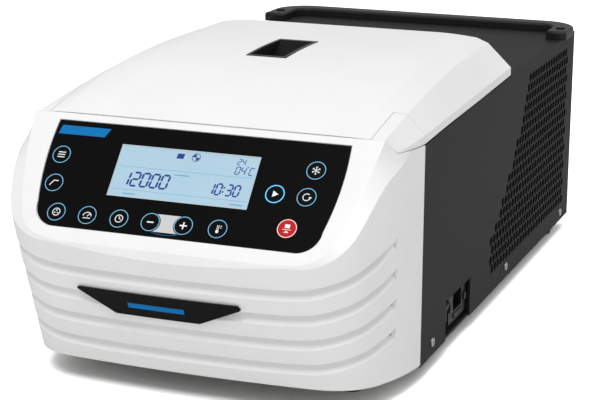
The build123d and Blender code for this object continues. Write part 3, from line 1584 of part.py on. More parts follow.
# Frame leaves: a plate on the top cover, two knuckles and the pin through all three
with BuildPart() as hinge_frames:
    for side in (-1, 1):
        x = side * hinge_x
        block(at(x - hinge_half, hinge_back, body_top),
              at(x + hinge_half, hinge_back + leaf_length, body_top + leaf_thick))
        gap_half = middle_half + knuckle_gap
        block(at(x - gap_half, hinge_back - 1, body_top),
              at(x + gap_half, hinge_back + hinge_knuckle + 1, body_top + leaf_thick), Mode.SUBTRACT)
        for start in (-hinge_half, middle_half + knuckle_gap):
            with BuildSketch(side_plane.offset(x + start)):
                with Locations((hinge_back, hinge_height)):
                    Circle(hinge_knuckle)
            extrude(amount=hinge_half - middle_half - knuckle_gap)
        with BuildSketch(side_plane.offset(x - hinge_half)):
            with Locations((hinge_back, hinge_height)):
                Circle(hinge_pin)
        extrude(amount=2 * hinge_half)
    with BuildSketch(Plane.XY.offset(body_top)):
        with Locations(*[at(x, back, 0)[:2] for x, back in hinge_screw_spots]):
            Circle(screw_hole)
    extrude(amount=leaf_thick + 1, mode=Mode.SUBTRACT)
save("hinge_frames", hinge_frames.part)
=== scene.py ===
"""Refrigerated microcentrifuge: finishes, prints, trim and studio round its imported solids.

Sizes of the prints are in millimetres on the panel: x to the right, `down` along its slope.
"""

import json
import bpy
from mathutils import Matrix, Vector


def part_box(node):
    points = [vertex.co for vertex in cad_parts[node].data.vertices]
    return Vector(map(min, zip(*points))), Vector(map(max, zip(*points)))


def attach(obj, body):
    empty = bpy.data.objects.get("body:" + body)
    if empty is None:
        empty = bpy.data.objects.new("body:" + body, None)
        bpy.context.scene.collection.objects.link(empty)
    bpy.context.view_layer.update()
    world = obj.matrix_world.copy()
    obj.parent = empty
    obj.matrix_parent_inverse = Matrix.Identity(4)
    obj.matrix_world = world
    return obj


bl_info = {
    "name": "Refrigerated Microcentrifuge",
    "version": (1, 0, 0),
    "blender": (4, 5, 0),
    "location": "3D View > Sidebar > Centrifuge",
    "description": "Dresses the solids of a bench-top refrigerated microcentrifuge and lights them",
    "category": "Object",
}

from math import cos, pi, radians, sin

import bmesh
import bpy
from bpy.props import FloatProperty, FloatVectorProperty, IntProperty, PointerProperty
from mathutils import Matrix, Vector

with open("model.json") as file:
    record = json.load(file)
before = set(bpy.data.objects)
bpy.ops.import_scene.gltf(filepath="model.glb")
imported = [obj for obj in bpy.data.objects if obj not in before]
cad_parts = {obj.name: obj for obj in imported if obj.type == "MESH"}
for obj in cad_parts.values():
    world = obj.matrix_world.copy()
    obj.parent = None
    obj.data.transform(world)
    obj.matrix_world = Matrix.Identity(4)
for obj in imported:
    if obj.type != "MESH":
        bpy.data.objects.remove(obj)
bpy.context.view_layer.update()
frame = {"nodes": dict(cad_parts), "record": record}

MM = 0.001
badge_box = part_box("front_badge")


def tone(red, green, blue):
    """A colour given as it looks on a screen, 0 to 255, in the linear values that Blender uses."""
    shares = [part / 255 for part in (red, green, blue)]
    return tuple(s / 12.92 if s <= 0.04045 else ((s + 0.055) / 1.055) ** 2.4 for s in shares)


def colour(name, description, default):
    """A colour property with its default."""
    return FloatVectorProperty(name=name, description=description, subtype="COLOR", size=3,
                               min=0, max=1, default=default)


def length(name, description, default):
    """A length property in millimetres."""
    return FloatProperty(name=name, description=description, default=default)


class CentrifugeColours(bpy.types.PropertyGroup):
    """Colours of the centrifuge's finishes."""
    shell: colour("Shell", "White moulded casing and lid", tone(241, 241, 242))
    body: colour("Body", "Charcoal coat of the covers", tone(27, 27, 28))
    rail: colour("Rail", "Black coat of the rear rail", tone(19, 19, 20))
    overlay: colour("Overlay", "Printed black of the panel", tone(5, 5, 6))
    accent: colour("Accent", "Blue of the label and the badge", tone(2, 114, 180))
    ring: colour("Key ring", "Pale blue of the key rings", tone(120, 188, 226))
    glow: colour("Start ring", "Brighter blue of the start key's ring", tone(90, 190, 245))
    mark: colour("Key marks", "White of the signs on the keys", tone(232, 238, 242))
    stop: colour("Stop key", "Red of the stop key", tone(196, 22, 30))
    plate: colour("Key plate", "Grey field between the minus and plus keys", tone(205, 206, 208))
    screen: colour("Screen", "Backlit ground of the display", tone(169, 200, 217))
    digits: colour("Digits", "Dark blue of the display's segments", tone(12, 58, 138))


class CentrifugePrints(bpy.types.PropertyGroup):
    """Sizes of the prints on the panel, in millimetres."""
    ring_outer: length("Ring radius", "Outer radius of a key ring", 7.25)
    ring_width: length("Ring width", "Width of a key ring's line", 0.5)
    print_height: length("Print height", "How far a print stands above its ground", 0.06)
    digit_height: length("Digit height", "Height of the large digits", 11.0)
    digit_width: length("Digit width", "Width of the large digits", 5.5)
    stroke: length("Digit stroke", "Width of a large digit's segments", 1.55)
    slant: FloatProperty(name="Digit slant", description="Lean of the digits", subtype="ANGLE",
                         default=radians(7))


class CentrifugeStudio(bpy.types.PropertyGroup):
    """Light, floor and camera."""
    ambient: FloatProperty(name="Ambient", description="Even light from all round", default=0.56)
    key_power: FloatProperty(name="Key light", description="Power of the large light", subtype="POWER",
                             default=52.0)
    fill_power: FloatProperty(name="Top light", description="Power of the light overhead", subtype="POWER",
                              default=18.0)
    floor_white: FloatProperty(name="Floor white", description="How bright the camera sees the floor",
                               default=2.0)
    floor_size: FloatProperty(name="Floor", description="Side of the floor", subtype="DISTANCE", default=9.0)
    focal: FloatProperty(name="Focal length", description="Lens of the camera, mm", default=108.29)
    samples: IntProperty(name="Edge samples", description="Samples of the softened edges", default=4)


class Value:
    """A socket on its way through a material; sums on it add Math nodes."""

    def __init__(self, tree, socket):
        self.tree = tree
        self.socket = socket

    def _math(self, operation, first, second):
        node = self.tree.nodes.new("ShaderNodeMath")
        node.operation = operation
        for place, given in enumerate((first, second)):
            if isinstance(given, Value):
                self.tree.links.new(given.socket, node.inputs[place])
            else:
                node.inputs[place].default_value = given
        return Value(self.tree, node.outputs[0])

    def __add__(self, other):
        return self._math("ADD", self, other)

    def __radd__(self, other):
        return self._math("ADD", other, self)

    def __sub__(self, other):
        return self._math("SUBTRACT", self, other)

    def __rsub__(self, other):
        return self._math("SUBTRACT", other, self)

    def __mul__(self, other):
        return self._math("MULTIPLY", self, other)

    def __rmul__(self, other):
        return self._math("MULTIPLY", other, self)

    def __gt__(self, other):
        return self._math("GREATER_THAN", self, other)

    def __or__(self, other):
        return self._math("MAXIMUM", self, other)

    def __and__(self, other):
        return self._math("MINIMUM", self, other)


class Finish:
    """One material under construction."""

    def __init__(self, name, tree=None):
        if tree is None:
            self.material = bpy.data.materials.new(name)
            self.material.use_nodes = True
            tree = self.material.node_tree
        self.tree = tree
        tree.nodes.clear()

    def node(self, kind, settings=None, inputs=None, output=0):
        """Add any node: its settings first, then its sockets' values or links."""
        node = self.tree.nodes.new(kind)
        for key, value in (settings or {}).items():
            if key == "stops":
                ramp = node.color_ramp
                ramp.elements[0].position, ramp.elements[0].color = value[0]
                ramp.elements[1].position, ramp.elements[1].color = value[-1]
                for position, shade in value[1:-1]:
                    ramp.elements.new(position).color = shade
            else:
                setattr(node, key, value)
        for key, value in (inputs or {}).items():
            if isinstance(value, Value):
                self.tree.links.new(value.socket, node.inputs[key])
            elif value is not None:
                node.inputs[key].default_value = (*value, 1) if self._wants_alpha(node, key, value) else value
        return Value(self.tree, node.outputs[output]) if node.outputs else None

    @staticmethod
    def _wants_alpha(node, key, value):
        return node.inputs[key].type == "RGBA" and len(value) == 3

    def place(self):
        """Position in the piece's own rest place, in metres."""
        return self.node("ShaderNodeTexCoord", output="Object")

    def along(self, stretch):
        """The rest place, scaled differently along X, Y and Z."""
        return self.node("ShaderNodeMapping", inputs={"Vector": self.place(), "Scale": stretch})

    def noise(self, size, detail=2.0, roughness=0.5, where=None):
        """Smooth noise with features about `size` millimetres wide."""
        return self.node("ShaderNodeTexNoise", {"noise_dimensions": "3D"},
                         {"Vector": where or self.place(), "Scale": 1 / (size * MM), "Detail": detail,
                          "Roughness": roughness})

    def cells(self, size):
        """Distance to the middle of random cells about `size` millimetres wide."""
        return self.node("ShaderNodeTexVoronoi", {"feature": "F1"},
                         {"Vector": self.place(), "Scale": 1 / (size * MM)})

    def axis(self, name):
        """One coordinate of the rest place, in millimetres."""
        return self.node("ShaderNodeSeparateXYZ", inputs={"Vector": self.place()}, output=name) * 1000

    def between(self, share, first, second):
        """A colour between two colours."""
        return self.node("ShaderNodeMix", {"data_type": "RGBA"}, {"Factor": share, 6: first, 7: second}, 2)

    def relief(self, height, depth, edge=0.0, strength=1.0):
        """A bumped normal, over edges softened by `edge` millimetres."""
        soft = None
        if edge:
            soft = self.node("ShaderNodeBevel", {"samples": settings().studio.samples},
                             {"Radius": edge * MM})
        return self.node("ShaderNodeBump", None,
                         {"Height": height, "Distance": depth * MM, "Strength": strength, "Normal": soft})

    def surface(self, **sockets):
        """Finish the material with its shader."""
        inputs = {key.replace("_", " "): value for key, value in sockets.items()}
        shader = self.node("ShaderNodeBsdfPrincipled", None, inputs)
        self.node("ShaderNodeOutputMaterial", None, {"Surface": shader})
        return self.material


def settings():
    """The add-on's properties on the scene."""
    return bpy.context.scene.centrifuge


def moulded(name, base, roughness, grain=0.25, edge=0.0, level=0.5):
    """Injection-moulded plastic: slow shade change, fine grain and softened edges."""
    f = Finish(name)
    cloud = f.noise(45)
    fine = f.noise(grain, 3)
    dark = tuple(part * 0.955 for part in base)
    light = tuple(min(1, part * 1.02) for part in base)
    return f.surface(Base_Color=f.between(cloud, dark, light), Roughness=(fine - 0.5) * 0.14 + roughness,
                     Specular_IOR_Level=level, Normal=f.relief(fine, 0.012, edge))


def powder_coat(name, base, roughness, grain=0.7, level=0.2, edge=0.3):
    """Textured powder coat on sheet metal, with scuffed high spots."""
    f = Finish(name)
    bead = f.cells(grain)
    fine = f.noise(grain * 0.5, 3)
    cloud = f.noise(70)
    dark = tuple(part * 0.8 for part in base)
    light = tuple(part * 1.22 for part in base)
    return f.surface(Base_Color=f.between((fine + cloud) * 0.5, dark, light),
                     Roughness=(fine - 0.5) * 0.2 + roughness, Specular_IOR_Level=level,
                     Normal=f.relief(bead + fine, 0.05, edge, 0.7))


def worked_metal(name, base, roughness, stretch=(1, 1, 1), size=0.4, edge=0.2, stain=0.12):
    """Bare metal with its drawing or turning lines and light handling stains."""
    f = Finish(name)
    lines = f.noise(size, 4, 0.6, f.along(stretch))
    cloud = f.noise(18, 3)
    dark = tuple(part * (1 - stain) for part in base)
    return f.surface(Base_Color=f.between(cloud, dark, base), Metallic=1.0,
                     Roughness=(lines - 0.5) * 0.3 + (cloud - 0.5) * 0.1 + roughness,
                     Normal=f.relief(lines, 0.01, edge, 0.6))


def screw_steel(name):
    """Bright zinc on the cover screws, black oxide on those of the inlet and the hinges."""
    f = Finish(name)
    across = f.axis("X")
    bright = (across * across > BRIGHT_SCREW_HALF ** 2) | (f.axis("Y") > BRIGHT_SCREW_REAR)
    lines = f.noise(0.4, 4, 0.6)
    shade = f.between(bright, tone(26, 26, 27), tone(190, 191, 193))
    return f.surface(Base_Color=f.between(lines * 0.3, shade, tone(120, 121, 124)), Metallic=1.0,
                     Roughness=(lines - 0.5) * 0.2 + 0.34, Normal=f.relief(lines, 0.01, 0.2, 0.6))


def soft_rubber(name, base):
    """Moulded rubber: matt, finely pitted, a little dusty."""
    f = Finish(name)
    pits = f.cells(0.5)
    dust = f.noise(9, 4)
    light = tuple(min(1, part * 1.9 + 0.01) for part in base)
    return f.surface(Base_Color=f.between(dust * dust, base, light), Roughness=(dust - 0.5) * 0.15 + 0.78,
                     Specular_IOR_Level=0.3, Normal=f.relief(pits, 0.03, 0.4))


def open_foam(name, dark, light):
    """Foam with open cells, unevenly coloured."""
    f = Finish(name)
    bubble = f.cells(1.6)
    cloud = f.noise(25, 3)
    return f.surface(Base_Color=f.between(cloud, dark, light), Roughness=0.9,
                     Normal=f.relief(bubble, 0.3, 0.8))


def circuit_board(name, surface_axis, level):
    """Green solder mask with fine tracks, and darker parts that stand off it."""
    f = Finish(name)
    tracks = f.node("ShaderNodeTexBrick", None,
                    {"Vector": f.along((1, 1, 1)), "Scale": 190.0, "Mortar Size": 0.03, "Color1": (0, 0, 0),
                     "Color2": (0, 0, 0), "Mortar": (1, 1, 1)})
    green = f.between(tracks, tone(12, 74, 40), tone(40, 120, 66))
    parts = f.axis(surface_axis) > level
    shade = f.noise(6, 1)
    black = f.between(shade, tone(22, 22, 24), tone(58, 60, 66))
    return f.surface(Base_Color=f.between(parts, green, black), Roughness=(shade - 0.5) * 0.2 + 0.42,
                     Normal=f.relief(tracks, 0.03, 0.2))


def printed(name, base, roughness=0.35, glow=0.0, level=0.3):
    """Screen-printed ink or a lit sign: faint unevenness, optional glow."""
    f = Finish(name)
    grain = f.noise(0.6, 3)
    dark = tuple(part * 0.93 for part in base)
    shade = f.between(grain, dark, base)
    return f.surface(Base_Color=shade, Roughness=(grain - 0.5) * 0.1 + roughness, Specular_IOR_Level=level,
                     Emission_Color=shade, Emission_Strength=glow)


def lit_screen(name, base, glow):
    """Backlit display glass: a fine dot grid and slow, slightly dimmer patches."""
    f = Finish(name)
    dots = f.cells(0.45)
    cloud = f.noise(40, 1)
    dim = tuple(part * 0.86 for part in base)
    shade = f.between((dots * 0.35 + cloud * 0.5) & 1.0, base, dim)
    return f.surface(Base_Color=shade, Roughness=0.22, Specular_IOR_Level=0.25,
                     Emission_Color=shade, Emission_Strength=glow)


def clear_pane(name):
    """Clear polished window with faint smears."""
    f = Finish(name)
    smear = f.noise(14, 4)
    return f.surface(Base_Color=tone(236, 243, 245), Roughness=smear * smear * 0.08 + 0.01,
                     Transmission_Weight=0.95, IOR=1.46)


def dress(name, material):
    """Give a solid its finish."""
    piece = frame["nodes"][name]
    piece.data.materials.clear()
    piece.data.materials.append(material)


class Centrifuge:
    """Names shared by the operators: the finishes made so far."""
    finishes = {}


# Panel: x to the right, up along its slope, and out along its normal, from the middle of its upper edge
PANEL_SLOPE = radians(48.4)
PANEL_RIGHT = Vector((1, 0, 0))
PANEL_UP = Vector((0, cos(PANEL_SLOPE), sin(PANEL_SLOPE)))
PANEL_OUT = Vector((0, -sin(PANEL_SLOPE), cos(PANEL_SLOPE)))
PANEL_ORIGIN = Vector((0, -249.461, 199.25)) * MM
PANEL = Matrix((PANEL_RIGHT, PANEL_UP, PANEL_OUT)).transposed().to_4x4()
PANEL.translation = PANEL_ORIGIN
OVERLAY_FACE = -0.2
KEY_FACE = 0.15
SCREEN_FACE = -0.5
PRINT_SINK = 0.05
START_RING_SHARE = 1.4

# Screws outside this half width, or behind this place, are the bright ones of the covers
BRIGHT_SCREW_HALF = 149.7
BRIGHT_SCREW_REAR = 300.0

# Louvre grooves: place of the topmost one's rear end, its upper edge there, and the steps down the flank
GROOVE_COUNT = 4
GROOVE_END = -239.461
GROOVE_END_STEP = 2.75
GROOVE_TOP = 131.4
GROOVE_PITCH = 23.9

# Painted vent shade, a near-black sheet standing in for the shade inside each side cover: its edges along the
# part and up it, and its two faces from its middle
VENT_SHADE_FRONT, VENT_SHADE_REAR = 10.0, 292.0
VENT_SHADE_LOW, VENT_SHADE_HIGH = 28.0, 187.0
VENT_SHADE_INNER, VENT_SHADE_OUTER = 146.2, 148.2

# Blue accent on the badge: its ends, its edges' heights, and how far it stands out and reaches in, in metres
ACCENT_LEFT, ACCENT_RIGHT = -35.5, 9.6
ACCENT_LOW, ACCENT_HIGH = 76.2, 80.2
ACCENT_OUT = Vector((0, -0.0001, 0))
ACCENT_IN = Vector((0, 0.0003, 0))

# Camera: where it stands, and how it is turned from looking level along +Y
CAMERA_PLACE = Vector((0.53701, -1.45033, 0.49329))
CAMERA_YAW, CAMERA_PITCH, CAMERA_ROLL = 0.363, 0.257, 0.007

# Middle of each key: to the right, and down the slope
KEYS = {
    "key_setup": (-105.9, 29.7),
    "key_line": (-104.3, 53.5),
    "key_rotor": (-94.6, 77.0),
    "key_speed": (-69.2, 77.0),
    "key_time": (-43.5, 77.0),
    "key_minus": (-18.4, 77.0),
    "key_plus": (7.7, 77.0),
    "key_cold": (34.3, 76.5),
    "key_chill": (95.4, 22.6),
    "key_short": (93.7, 44.4),
    "key_start": (69.6, 44.4),
    "key_stop": (85.6, 70.3),
}
SEGMENTS = {
    "0": "abcdef", "1": "bc", "2": "abged", "3": "abgcd", "4": "fgbc", "5": "afgcd",
    "6": "afgedc", "7": "abc", "8": "abcdefg", "9": "abcdfg", "C": "afed", "-": "g",
}


def mesh_piece(name, build, material, body):
    """A new piece from a bmesh, riding on a body, with the given finish."""
    mesh = bpy.data.meshes.new(name)
    shape = bmesh.new()
    build(shape)
    bmesh.ops.recalc_face_normals(shape, faces=shape.faces)
    shape.to_mesh(mesh)
    shape.free()
    piece = bpy.data.objects.new(name, mesh)
    bpy.context.scene.collection.objects.link(piece)
    mesh.materials.append(material)
    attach(piece, body)
    return piece


def slab(shape, outline, low, high, place):
    """Extrude a closed outline (mm) between two heights over a plane."""
    rings = []
    for height in (low, high):
        rings.append([shape.verts.new(place @ (Vector((x, y, height)) * MM)) for x, y in outline])
    shape.faces.new(rings[0][::-1])
    shape.faces.new(rings[1])
    count = len(outline)
    for index in range(count):
        after = (index + 1) % count
        shape.faces.new((rings[0][index], rings[0][after], rings[1][after], rings[1][index]))


def band(shape, outer, inner, low, high, place):
    """Extrude the band between two outlines that have the same number of points."""
    layers = []
    for height in (low, high):
        layers.append([[shape.verts.new(place @ (Vector((x, y, height)) * MM)) for x, y in line]
                       for line in (outer, inner)])
    count = len(outer)
    for index in range(count):
        after = (index + 1) % count
        (bottom_out, bottom_in), (top_out, top_in) = layers
        shape.faces.new((top_out[index], top_out[after], top_in[after], top_in[index]))
        shape.faces.new((bottom_out[after], bottom_out[index], bottom_in[index], bottom_in[after]))
        shape.faces.new((bottom_out[index], bottom_out[after], top_out[after], top_out[index]))
        shape.faces.new((bottom_in[after], bottom_in[index], top_in[index], top_in[after]))


def circle(x, y, radius, count=48, start=0.0, turn=2 * pi):
    """Points round a circle."""
    return [(x + radius * cos(start + turn * index / count), y + radius * sin(start + turn * index / count))
            for index in range(count)]


def arc_stroke(x, y, radius, width, start, end, count=20):
    """Outline of a curved stroke."""
    angles = [start + (end - start) * index / count for index in range(count + 1)]
    outer = [(x + (radius + width / 2) * cos(a), y + (radius + width / 2) * sin(a)) for a in angles]
    inner = [(x + (radius - width / 2) * cos(a), y + (radius - width / 2) * sin(a)) for a in angles]
    return outer + inner[::-1]


def stroke(x1, y1, x2, y2, width):
    """Outline of a straight stroke."""
    along = Vector((x2 - x1, y2 - y1)).normalized()
    side = Vector((-along.y, along.x)) * width / 2
    return [(x1 + side.x, y1 + side.y), (x2 + side.x, y2 + side.y), (x2 - side.x, y2 - side.y),
            (x1 - side.x, y1 - side.y)]


def rectangle(left, right, low, high):
    """Outline of a rectangle."""
    return [(left, low), (right, low), (right, high), (left, high)]


def shifted(outline, x, y):
    """An outline moved to a place."""
    return [(px + x, py + y) for px, py in outline]


def key_signs():
    """Signs on the keys, as outlines about each key's middle."""
    dial = [arc_stroke(0, 0, 2.9, 0.6, 0.02, pi), arc_stroke(0, 0, 2.9, 0.6, pi, 2 * pi)]
    signs = {
        "key_setup": [stroke(-3, y, 3, y, 0.7) for y in (2, 0, -2)],
        "key_line": [stroke(-3.2, -2.4, -0.6, 1.8, 0.7), stroke(-0.8, 1.8, 3.2, 1.8, 0.7)],
        "key_rotor": [*dial, *[circle(1.3 * cos(a), 1.3 * sin(a), 0.55, 12)
                               for a in (pi / 2, 7 * pi / 6, 11 * pi / 6)]],
        "key_speed": [arc_stroke(0, -1, 3.3, 0.6, 0.1, pi - 0.1), stroke(0, -1, 1.9, 1.3, 0.6),
                      stroke(-3, -2.4, 3, -2.4, 0.6)],
        "key_time": [*dial, stroke(0, 0, 0, 2.0, 0.55), stroke(0, 0.1, 1.5, -0.6, 0.55)],
        "key_minus": [stroke(-2.6, 0, 2.6, 0, 1.0)],
        "key_plus": [stroke(-2.8, 0, 2.8, 0, 1.0), stroke(0, 0.5, 0, 2.8, 1.0),
                     stroke(0, -0.5, 0, -2.8, 1.0)],
        "key_cold": [stroke(-0.55, -1.2, -0.55, 3, 0.4), stroke(0.55, -1.2, 0.55, 3, 0.4),
                     circle(0, -2.1, 1.2, 20), stroke(1.5, 2.4, 2.8, 2.4, 0.4),
                     stroke(1.5, 0.9, 2.8, 0.9, 0.4)],
        "key_chill": [stroke(0.25 * cos(a), 0.25 * sin(a), 3.2 * cos(a), 3.2 * sin(a), 0.5)
                      for a in [pi * step / 3 + pi / 6 for step in range(6)]],
        "key_short": [arc_stroke(0, 0, 2.7, 0.6, 0.9, 2 * pi), [(1.4, 0.3), (4.0, 0.3), (2.7, -1.7)]],
        "key_start": [[(-1.7, 2.5), (-1.7, -2.5), (2.8, 0)]],
        "key_stop": [[(-1.9, 3.2), (-1.9, 0.4), (1.9, 0.4), (1.9, 3.2)], stroke(-3.2, -0.9, 3.2, -0.9, 0.4),
                     [(-1.9, -3.4), (1.9, -3.4), (0, -1.7)]],
    }
    for step in range(6):
        angle = pi * step / 3 + pi / 6
        tip = Vector((2.0 * cos(angle), 2.0 * sin(angle)))
        for lean in (-0.6, 0.6):
            end = tip + Vector((cos(angle + lean), sin(angle + lean))) * 1.1
            signs["key_chill"].append(stroke(tip.x, tip.y, end.x, end.y, 0.35))
    return signs


def digit_strokes(text, left, base, height, width, line, gap, slant):
    """Outlines of seven-segment digits; a colon and a dot are squares."""
    outlines = []
    lean = sin(slant)
    corner = line / 2
    for sign in text:
        top, middle = base + height, base + height / 2
        right = left + width
        ends = {
            "a": (left, top, right, top), "b": (right, top, right, middle), "c": (right, middle, right, base),
            "d": (left, base, right, base), "e": (left, middle, left, base), "f": (left, top, left, middle),
            "g": (left, middle, right, middle),
        }
        if sign in ":.":
            spots = (0.3, 0.7) if sign == ":" else (0.0,)
            for share in spots:
                y = base + share * height
                outlines.append(rectangle(left - corner, left + corner, y - corner, y + corner))
            left += gap + line * 0.4
            continue
        for segment in SEGMENTS.get(sign, ""):
            x1, y1, x2, y2 = ends[segment]
            along = Vector((x2 - x1, y2 - y1)).normalized()
            side = Vector((-along.y, along.x)) * corner
            start = Vector((x1, y1)) + along * line * 0.12
            end = Vector((x2, y2)) - along * line * 0.12
            inner_start = start + along * corner
            inner_end = end - along * corner
            points = [start, inner_start + side, inner_end + side, end, inner_end - side, inner_start - side]
            outlines.append([(p.x, p.y) for p in points])
        left += width + gap
    return [[(x + (y - base) * lean, y) for x, y in outline] for outline in outlines]


def print_piece(name, outlines, face, material, body="case", height=None):
    """Prints on a face of the panel: closed slabs a hair thick."""
    height = height or settings().prints.print_height

    def build(shape):
        for outline in outlines:
            slab(shape, outline, face - PRINT_SINK, face + height, PANEL)
    return mesh_piece(name, build, material, body)


class OBJECT_OT_centrifuge_finishes(bpy.types.Operator):
    """Make the finishes and give every solid its own"""
    bl_idname = "centrifuge.finishes"
    bl_label = "Finishes"

    def execute(self, context):
        c = settings().colours
        shell = moulded("shell_white", tuple(c.shell), 0.36, 0.35, 0.9, 0.4)
        body = powder_coat("body_charcoal", tuple(c.body), 0.62)
        steel = worked_metal("steel_turned", tone(196, 197, 199), 0.3)
        finishes = {
            "shell_white": shell,
            "body_metal": body,
            "overlay_black": moulded("overlay_gloss", tuple(c.overlay), 0.25, 0.5, 0.2, 0.08),
            "screen_glass": lit_screen("screen_lit", tuple(c.screen), 0.12),
            "circuit_board": circuit_board("board_green", "Y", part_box("main_board")[0][1] * 1000 + 1.7),
            "badge_black": moulded("badge_gloss", tone(7, 7, 8), 0.3, 0.5, 0.5, 0.1),
            "key_black": moulded("key_cap", tuple(c.overlay), 0.3, 0.3, 0.3, 0.08),
            "key_red": moulded("key_cap_red", tuple(c.stop), 0.34, 0.3, 0.3, 0.15),
            "deck_metal": powder_coat("deck_grey", tone(200, 202, 204), 0.5, 0.9),
            "steel": steel,
            "rubber_black": soft_rubber("rubber_black", tone(24, 24, 25)),
            "rubber_grey": soft_rubber("rubber_grey", tone(84, 85, 88)),
            "foam": open_foam("foam_cells", tone(206, 184, 128), tone(232, 217, 170)),
            "aluminium_plain": worked_metal("aluminium_rolled", tone(206, 208, 211), 0.34, (1, 0.08, 1)),
            "rotor_aluminium": worked_metal("rotor_anodised", tone(92, 95, 100), 0.32, (1, 1, 0.15), 0.5,
                                            0.4),
            "nut_black": worked_metal("nut_turned", tone(160, 162, 166), 0.28, (1, 1, 0.2)),
            "zinc_metal": worked_metal("zinc_plated", tone(178, 182, 186), 0.4, (1, 1, 1), 3.0, 0.2, 0.25),
            "motor_paint": powder_coat("motor_enamel", tone(34, 34, 36), 0.45, 1.2),
            "compressor_paint": powder_coat("compressor_enamel", tone(20, 20, 21), 0.3, 2.5, 0.4),
            "fan_plastic": moulded("fan_nylon", tone(24, 24, 25), 0.5, 0.4, 0.3),
            "copper": worked_metal("copper_tube", tone(205, 128, 92), 0.32, (1, 1, 1), 2.0, 0.0, 0.35),
            "inlet_plastic": moulded("inlet_black", tone(20, 20, 21), 0.45, 0.3, 0.3, 0.3),
            "rail_black": powder_coat("rail_satin", tuple(c.rail), 0.46, 0.5, 0.3, 1.2),
            "frame_black": moulded("frame_gloss", tone(10, 10, 11), 0.3, 0.5, 0.5, 0.15),
            "window_clear": clear_pane("window_clear"),
            "liner_grey": moulded("liner_grey", tone(214, 216, 218), 0.5, 0.4, 0.8),
            "hinge_black": powder_coat("hinge_satin", tone(26, 26, 27), 0.4, 0.5),
        }
        Centrifuge.finishes.update(finishes)
        Centrifuge.finishes.update({
            "shell": shell,
            # Painted shade: a near-black foam sheet behind the side vents stands in for the shade inside
            "vent_shade": open_foam("painted_vent_shade", tone(9, 9, 10), tone(19, 19, 20)),
            "accent": printed("accent_blue", tuple(c.accent), 0.5, 0.05, 0.12),
            "ring": printed("ring_blue", tuple(c.ring), 0.4, 0.25),
            "ring_start": printed("ring_start", tuple(c.glow), 0.4, 0.7),
            "ring_white": printed("ring_white", tone(238, 238, 240), 0.4, 0.1),
            "mark": printed("mark_white", tuple(c.mark), 0.4, 0.15),
            "plate": printed("plate_grey", tuple(c.plate), 0.4),
            "digits": printed("digits_blue", tuple(c.digits), 0.5),
            "rule": printed("rule_blue", tone(120, 160, 195), 0.5),
            "bezel": printed("bezel_silver", tone(196, 206, 214), 0.4),
            "glow_line": printed("glow_line", tone(24, 96, 150), 0.5, 0.25),
        })
        for subpart in frame["record"]["subparts"]:
            dress(subpart["node"], finishes[subpart["material_slot"]])
        dress("case_screws", screw_steel("screw_steel"))
        dress("rail_bolts", worked_metal("bolt_black", tone(52, 52, 54), 0.42, (1, 1, 1), 1.0, 0.2, 0.3))
        dress("inlet_bracket", powder_coat("bracket_black", tone(15, 15, 16), 0.7, 0.5, 0.12))
        dress("chamber_bowl", worked_metal("bowl_drawn", tone(222, 223, 225), 0.36, (1, 1, 0.1), 0.8))
        return {"FINISHED"}


class OBJECT_OT_centrifuge_keys(bpy.types.Operator):
    """Print the ring and the sign on each key"""
    bl_idname = "centrifuge.keys"
    bl_label = "Key prints"

    def execute(self, context):
        prints = settings().prints
        done = Centrifuge.finishes
        rings = {"key_start": "ring_start", "key_stop": "ring_white"}
        signs = key_signs()
        for name, (x, down) in KEYS.items():
            body = name + "_button"
            outer = circle(x, -down, prints.ring_outer)
            width = prints.ring_width * (START_RING_SHARE if name == "key_start" else 1)
            inner = circle(x, -down, prints.ring_outer - width)

            def ring(shape, outer=outer, inner=inner):
                band(shape, outer, inner, KEY_FACE - PRINT_SINK, KEY_FACE + prints.print_height, PANEL)
            mesh_piece(name + "_ring", ring, done[rings.get(name, "ring")], body)
            outlines = [shifted(outline, x, -down) for outline in signs[name]]
            print_piece(name + "_sign", outlines, KEY_FACE, done["mark"], body)
        return {"FINISHED"}


class OBJECT_OT_centrifuge_panel(bpy.types.Operator):
    """Print the plain label, the plate of the minus and plus keys and their glow line"""
    bl_idname = "centrifuge.panel"
    bl_label = "Panel prints"

    def execute(self, context):
        done = Centrifuge.finishes
        label = [(-113.0, -4.6), (-72.5, -4.6), (-76.0, -12.0), (-114.6, -12.0)]
        print_piece("panel_label", [label], OVERLAY_FACE, done["accent"])
        minus, plus = KEYS["key_minus"], KEYS["key_plus"]
        hollow = 7.9
        reach = 1.12
        lift, bend, width, half_turn = 28, 37.0, 0.35, 0.42
        plate = []
        for (x, down), middle in ((minus, 0), (plus, pi)):
            for step in range(17):
                angle = middle - reach + 2 * reach * step / 16
                plate.append((x + hollow * cos(angle), -down + hollow * sin(angle)))
        print_piece("key_plate", [plate], OVERLAY_FACE, done["plate"])
        between = (minus[0] + plus[0]) / 2
        line = arc_stroke(between, lift - minus[1], bend, width, 1.5 * pi - half_turn, 1.5 * pi + half_turn)
        print_piece("glow_line", [line], OVERLAY_FACE, done["glow_line"])
        return {"FINISHED"}


